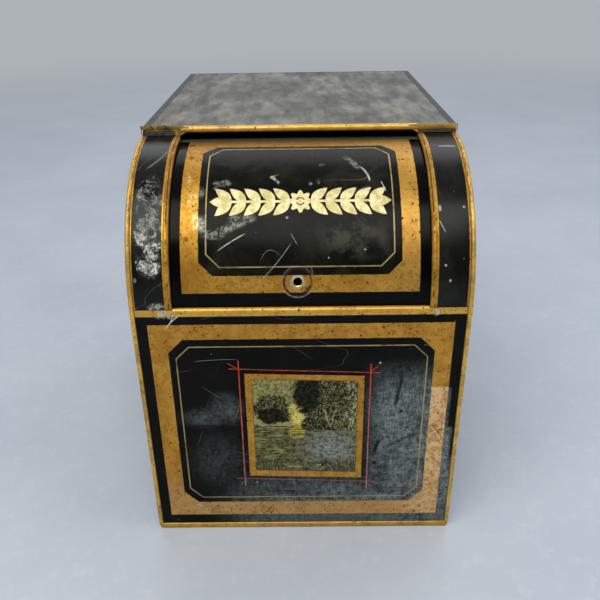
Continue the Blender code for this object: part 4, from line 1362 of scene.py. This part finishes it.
def fascia(side, materials):
    """The folded strip at one end of the top's front edge, with the gusset at the opening's corner."""
    tip_x = OPENING_HALF - GUSSET_WIDTH
    xs = spread(tip_x, OPENING_HALF, 0.9 * MM) + spread(OPENING_HALF, HALF_WIDTH + 0.2 * MM, 0.8 * MM)[1:]
    seam = (FASCIA_SEAM_LEFT if side < 0 else FASCIA_SEAM_RIGHT) / (TOP - FASCIA_BOTTOM_Z)
    ts = [0.0, seam * 0.5, seam - 0.06, seam] + spread(seam, 1, 0.11)[1:] + [1.12, 1.25, 1.4]
    crumple = (0.55 if side < 0 else 0.12) * MM
    flange_x = OPENING_HALF + (FASCIA_CORNER if side < 0 else 0)

    def surface(x, t):
        rise = min(max((OPENING_HALF - x) / GUSSET_WIDTH, 0), 1)
        low = FASCIA_BOTTOM_Z + rise * (TOP_WIRE.z - FASCIA_BOTTOM_Z)
        outer = fade(x - tip_x, 7 * MM)
        proud = ((1.35 if side < 0 else 0.55) * outer + 0.1) * MM
        torn = fade(x - OPENING_HALF, 4 * MM)
        sway = crumple * noise.noise(Vector((x / (4 * MM), 3.1, side))) * torn
        upper = TOP + proud + sway
        z = low + min(t, 1) * (upper - low)
        inset = 0.35 * MM * fade(seam - t, 0.06) * fade(x - flange_x, MM)
        swell = 0.5 * MM * math.sin(math.pi * min(max((t - seam) / (1.2 - seam), 0), 1))
        buckle = dent(x * side, 0, z, 4.5 * MM, crumple, 9) * torn
        tuck = 2.6 * MM * max(t - 1, 0)
        y = FASCIA_Y + inset - swell + buckle * fade(t, 0.5) * fade(1.5 - t, 0.5) + tuck - 0.1 * MM
        z = z - 2.0 * MM * max(t - 1.12, 0)
        lean = math.pi / 2 * min(max(t - 0.85, 0) / 0.4, 1)
        return (side * x, y, z), (0, -math.cos(lean), math.sin(lean)), (side * x, z)

    return sheet(handed(side, "fascia"), xs, ts, surface, materials, FASCIA_SHEET)


def side_wall(side, materials):
    """A side wall with its quarter-round front corner, a little buckled between its seams."""
    reach = AXIS_Y - SIDE_FRONT_Y
    corner = [AXIS_Y - reach * math.cos(math.radians(a)) for a in spread(0, 90, 3.75)]
    ys = corner + spread(AXIS_Y, SIDE_BACK_Y, 5 * MM)[1:]
    ts = spread(0, 1, 0.02)

    def surface(y, t):
        ahead = min(y - AXIS_Y, 0)
        arch = AXIS_Z + math.sqrt(max(reach * reach - ahead * ahead, 0))
        crown = arch if ahead < 0 else SIDE_TOP_Z
        z = WALL_BASE_Z + t * (crown - WALL_BASE_Z)
        inland = min(y - SIDE_FRONT_Y, SIDE_BACK_Y - y, z - WALL_BASE_Z, crown - z)
        pivot = math.hypot(y - AXIS_Y, z - AXIS_Z) - 7 * MM
        calm = fade(inland, 24 * MM) * fade(pivot, 26 * MM)
        uneven = dent(side * 0.3, y, z, 85 * MM, 0.42 * MM, 4) * calm
        return (side * (SIDE_OUTER_X + uneven), y, z), (side, 0, 0), (y, z)

    return sheet(handed(side, "wall"), ys, ts, surface, materials)


def back_sheet(materials):
    """The back with its side edges folded forward over the side walls."""
    radius = BEND_RADIUS
    depth = SHEET_BACK_Y - BACK_FLANGE_Y
    flat = HALF_WIDTH - radius
    us = mirrored(bend_marks(flat, radius, depth, 4 * MM))
    flange_top = FASCIA_BOTTOM_Z - GAP
    zs = spread(WALL_BASE_Z, flange_top, 4 * MM) + [SHEET_TOP_Z]

    def surface(u, z):
        x, drop, turn = bent(abs(u), flat, radius)
        side = math.copysign(1, u)
        inland = min(flat - abs(u), z - WALL_BASE_Z, flange_top - z)
        uneven = dent(u, 0, z, 75 * MM, 0.3 * MM, 12) * fade(inland, 20 * MM)
        y = SHEET_BACK_Y - drop - 0.1 * MM + min(uneven, 0.1 * MM)
        return (side * x, y, z), (side * math.sin(turn), math.cos(turn), 0), (u, z)

    def skip(u, z):
        return z > flange_top and abs(u) > SIDE_OUTER_X - GAP

    return sheet("back_sheet", us, zs, surface, materials, skip=skip)


def bottom_bead(materials):
    """The folded bead all round the foot."""
    corner = 2.2 * MM
    half_height = BOTTOM_BEAD_TOP / 2
    way = []
    for cx, cy, start in (
        (HALF_WIDTH - corner, BACK - corner, 0),
        (-HALF_WIDTH + corner, BACK - corner, 90),
        (-HALF_WIDTH + corner, -BACK + corner, 180),
        (HALF_WIDTH - corner, -BACK + corner, 270),
    ):
        way += arc_points((cx, cy), corner, start, start + 90, 5)
    stations = []
    for first, second in zip(way, way[1:] + way[:1]):
        span = math.hypot(second[0] - first[0], second[1] - first[1])
        pieces = max(1, round(span / (4 * MM)))
        for k in range(pieces):
            share = k / pieces
            stations.append([a + (b - a) * share for a, b in zip(first, second)])
    section = [(-3.0 * MM, BOTTOM_BEAD_TOP - 0.5 * MM), (-2.2 * MM, BOTTOM_BEAD_TOP - 0.1 * MM)]
    for angle in spread(80, -80, 16):
        turn = math.radians(angle)
        bulge = math.cos(turn) ** 0.55 - 1
        section.append((1.9 * MM * bulge, half_height * (1 + math.sin(turn))))
    section += [(-2.4 * MM, 0.0), (-3.0 * MM, 0.3 * MM)]
    verts, maps = [], []
    travelled = 0.0
    for x, y, out_x, out_y in stations:
        wobble = dent(x, y, 0, 26 * MM, 0.10 * MM, 14)
        for offset, z in section:
            reach = offset + (wobble - 0.1 * MM if offset > -2 * MM else 0)
            verts.append((x + out_x * reach, y + out_y * reach, z))
            maps.append((travelled, z))
        travelled += 4 * MM
    size, count = len(section), len(stations)
    faces = []
    for i in range(count):
        j = (i + 1) % count
        for k in range(size):
            m = (k + 1) % size
            faces.append([i * size + k, j * size + k, j * size + m, i * size + m])
    kinds = [0] * len(faces)
    return mesh_object("bottom_bead", verts, faces, kinds, maps, materials)


def bottom_plate(materials):
    """The floor of the bin, slightly sagged between its seams."""
    inner_x = HALF_WIDTH - 2.8 * MM
    inner_y = BACK - 2.8 * MM

    def surface(x, y):
        inland = min(inner_x - abs(x), inner_y - abs(y))
        uneven = dent(x, y, 0, 70 * MM, 0.25 * MM, 15) * fade(inland, 20 * MM)
        return (x, y, 1.2 * MM + abs(uneven)), (0, 0, -1), (x, y)

    xs = spread(-inner_x, inner_x, 8 * MM)
    ys = spread(-inner_y, inner_y, 8 * MM)
    return sheet("bottom_plate", xs, ys, surface, materials)


# ---------------------------------------------------------------- the object


def fit(obj, body, slot, *nodes):
    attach(obj, body)
    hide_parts(*nodes)
    return obj


def dress(node, material):
    """Gives a CAD node that stays a new finish."""
    for holder in frame["nodes"][node].material_slots:
        holder.material = material


def build_object():
    tin = aged_tin_material()
    front = front_material()
    lid = lid_material()
    walls = {-1: wall_material("left_wall_paint", 101, 0.4), 1: wall_material("right_wall_paint", 131, 0.4)}
    shoulders = {
        -1: shoulder_material("left_shoulder_paint", 151, True),
        1: shoulder_material("right_shoulder_paint", 171, False),
    }
    seam = seam_material("seam_gold", 191, 0.6)
    bead = seam_material("bead_gold", 211, 0.35)
    foot = seam_material("foot_gold", 231, 0.45, front_only=True)
    strip = fascia_material()
    iron = iron_material("wire_iron", (0.10, 0.085, 0.07), (0.26, 0.24, 0.21), 0.8)
    rivet = iron_material("rivet_iron", (0.06, 0.052, 0.045), (0.20, 0.18, 0.155), 0.7)
    back = wall_material("back_paint", 251, 0.45, "Y")
    under = wall_material("under_paint", 271, 0.5, "Z")

    fit(front_sheet([front, tin]), "case", "front_black_japan", "front_panel")
    fit(lid_sheet([lid, tin]), "lid", "lid_black_japan", "lid_skin")
    fit(top_sheet([top_material(), tin]), "case", "top_black_japan", "top_panel")
    fit(top_bead([bead, tin]), "case", "gold_paint", "top_panel")
    fit(back_sheet([back, tin]), "case", "black_japan", "back_panel")
    fit(bottom_bead([foot]), "case", "gold_paint", "bottom_panel")
    fit(bottom_plate([under, tin]), "case", "black_japan", "bottom_panel")
    for side in (-1, 1):
        fit(front_tab(side, [front, tin]), "case", "front_black_japan", "front_panel")
        fit(side_wall(side, [walls[side], tin]), "case", "black_japan", handed(side, "side_panel"))
        shoulder = shoulder_sheet(side, [shoulders[side], tin])
        fit(shoulder, "case", "black_japan", handed(side, "shoulder"))
        fit(rim(side, [seam, seam]), "case", "gold_paint", handed(side, "rim_seam"))
        fit(fascia(side, [strip, tin]), "case", "gold_paint", "top_panel")
        dress(handed(side, "shoulder_wire"), iron)
        dress(handed(side, "pivot_rivet"), rivet)
        dress(handed(side, "pivot_washer"), tin)
        dress(handed(side, "rivet_burr"), rivet)
        dress("lid_" + handed(side, "arm"), tin)
    for edge in ("front", "top", "lid"):
        dress(edge + "_edge_wire", iron)


# ---------------------------------------------------------------- camera, floor and light


def add_camera():
    data = bpy.data.cameras.new("camera")
    data.lens = CAMERA_LENS
    data.sensor_width = 36
    data.shift_x, data.shift_y = CAMERA_SHIFT
    data.clip_start = 0.01
    data.clip_end = 200
    yaw, pitch, roll = (math.radians(a) for a in (CAMERA_YAW, CAMERA_PITCH, CAMERA_ROLL))
    forward = Vector(
        (math.sin(yaw) * math.cos(pitch), math.cos(yaw) * math.cos(pitch), -math.sin(pitch))
    )
    right = Vector((math.cos(yaw), -math.sin(yaw), 0))
    up = right.cross(forward)
    tilted_right = math.cos(roll) * right + math.sin(roll) * up
    tilted_up = math.cos(roll) * up - math.sin(roll) * right
    turn = Matrix((tilted_right, tilted_up, -forward)).transposed()
    camera = bpy.data.objects.new("camera", data)
    camera.matrix_world = Matrix.Translation(CAMERA_PLACE) @ turn.to_4x4()
    bpy.context.scene.collection.objects.link(camera)
    bpy.context.scene.camera = camera


def floor_material():
    """A plain pale board with a faint blue-grey mottle, fading into the air all round."""
    paint = Paint("pale_floor", specular=0.3)
    mottle = paint.noise(160, 5, 0.6, 1)
    fine = paint.noise(9, 4, 0.65, 2)
    colour = paint.blend((0.40, 0.45, 0.53), (0.56, 0.60, 0.66), mottle)
    colour = colour.blend((0.62, 0.65, 0.70), fine.ramp(0.5, 0.8) * 0.4)
    distance = paint.math("SQRT", paint.x * paint.x + paint.y * paint.y)
    far = distance.ramp(FLOOR_FADE_START / MM, FLOOR_FADE_END / MM)
    colour = colour.blend((0, 0, 0), far)
    air = [AIR_STRENGTH * c for c in AIR_COLOUR]
    paint.put(paint.shader.inputs["Emission Color"], paint.blend((0, 0, 0), air, far))
    paint.shader.inputs["Emission Strength"].default_value = 1
    look = paint.look(colour, 0.6 + fine * 0.1 + far * 0.3, 0.0, fine * 0.05)
    return paint.finish(look)


def add_floor():
    """A wide round floor, whose far part is as pale as the air above it."""
    rings = [0.0, 0.4, 0.8, 1.2, 1.8, 2.6, 4.0, 7.0, 14.0, 30.0, 60.0]
    spokes = 48
    verts = [(0, 0, 0)]
    for radius in rings[1:]:
        for k in range(spokes):
            turn = 2 * math.pi * k / spokes
            verts.append((radius * math.cos(turn), radius * math.sin(turn), 0))
    faces = [(0, 1 + k, 1 + (k + 1) % spokes) for k in range(spokes)]
    for ring in range(len(rings) - 2):
        start = 1 + ring * spokes
        for k in range(spokes):
            n = (k + 1) % spokes
            faces.append((start + k, start + spokes + k, start + spokes + n, start + n))
    mesh = bpy.data.meshes.new("floor")
    mesh.from_pydata(verts, [], faces)
    mesh.materials.append(floor_material())
    floor = bpy.data.objects.new("floor", mesh)
    bpy.context.scene.collection.objects.link(floor)


def add_light(name, place, target, size, power, colour=(1, 1, 1)):
    data = bpy.data.lights.new(name, "AREA")
    data.shape = "RECTANGLE"
    data.size, data.size_y = size
    data.energy = power
    data.color = colour
    light = bpy.data.objects.new(name, data)
    light.location = place
    aim = Vector(target) - Vector(place)
    light.rotation_euler = aim.to_track_quat("-Z", "Y").to_euler()
    bpy.context.scene.collection.objects.link(light)


def add_world():
    """Dim ahead of the object and brighter above and behind; the camera sees plain pale air."""
    world = bpy.data.worlds.new("studio")
    world.use_nodes = True
    nodes, links = world.node_tree.nodes, world.node_tree.links
    air = nodes["Background"]

    def node(kind, **settings):
        made = nodes.new("ShaderNode" + kind)
        for key, value in settings.items():
            setattr(made, key, value)
        return made

    def ramp(source, low, high, bottom, top):
        made = node("MapRange", interpolation_type="SMOOTHSTEP")
        links.new(source, made.inputs["Value"])
        for name, value in (("From Min", low), ("From Max", high), ("To Min", bottom), ("To Max", top)):
            made.inputs[name].default_value = value
        return made.outputs["Result"]

    way = node("SeparateXYZ")
    links.new(node("TexCoord").outputs["Generated"], way.inputs[0])
    total = node("Math", operation="ADD")
    links.new(ramp(way.outputs["Y"], -0.5, 0.7, 0.05, 0.34), total.inputs[0])
    links.new(ramp(way.outputs["Z"], 0.25, 0.95, 0.0, 0.25), total.inputs[1])
    choice = node("Mix", data_type="FLOAT")
    links.new(node("LightPath").outputs["Is Camera Ray"], choice.inputs[0])
    links.new(total.outputs[0], choice.inputs[2])
    choice.inputs[3].default_value = AIR_STRENGTH
    links.new(choice.outputs[0], air.inputs["Strength"])
    air.inputs["Color"].default_value = (*AIR_COLOUR, 1)
    bpy.context.scene.world = world


def add_lights():
    add_light("key", (-0.3, -0.95, 1.45), (0, -0.05, 0.15), (1.6, 1.0), 23, (1.0, 0.975, 0.93))
    add_light("fill", (1.5, -0.6, 1.3), (0, -0.1, 0.1), (1.0, 1.0), 7, (0.94, 0.97, 1.0))
    add_light("back", (0.2, 1.3, 1.9), (0, 0.4, 0.1), (2.2, 1.0), 15, (0.98, 0.98, 1.0))
    add_world()
    bpy.context.scene.view_settings.view_transform = "Standard"


add_camera()
add_floor()
add_lights()
build_object()
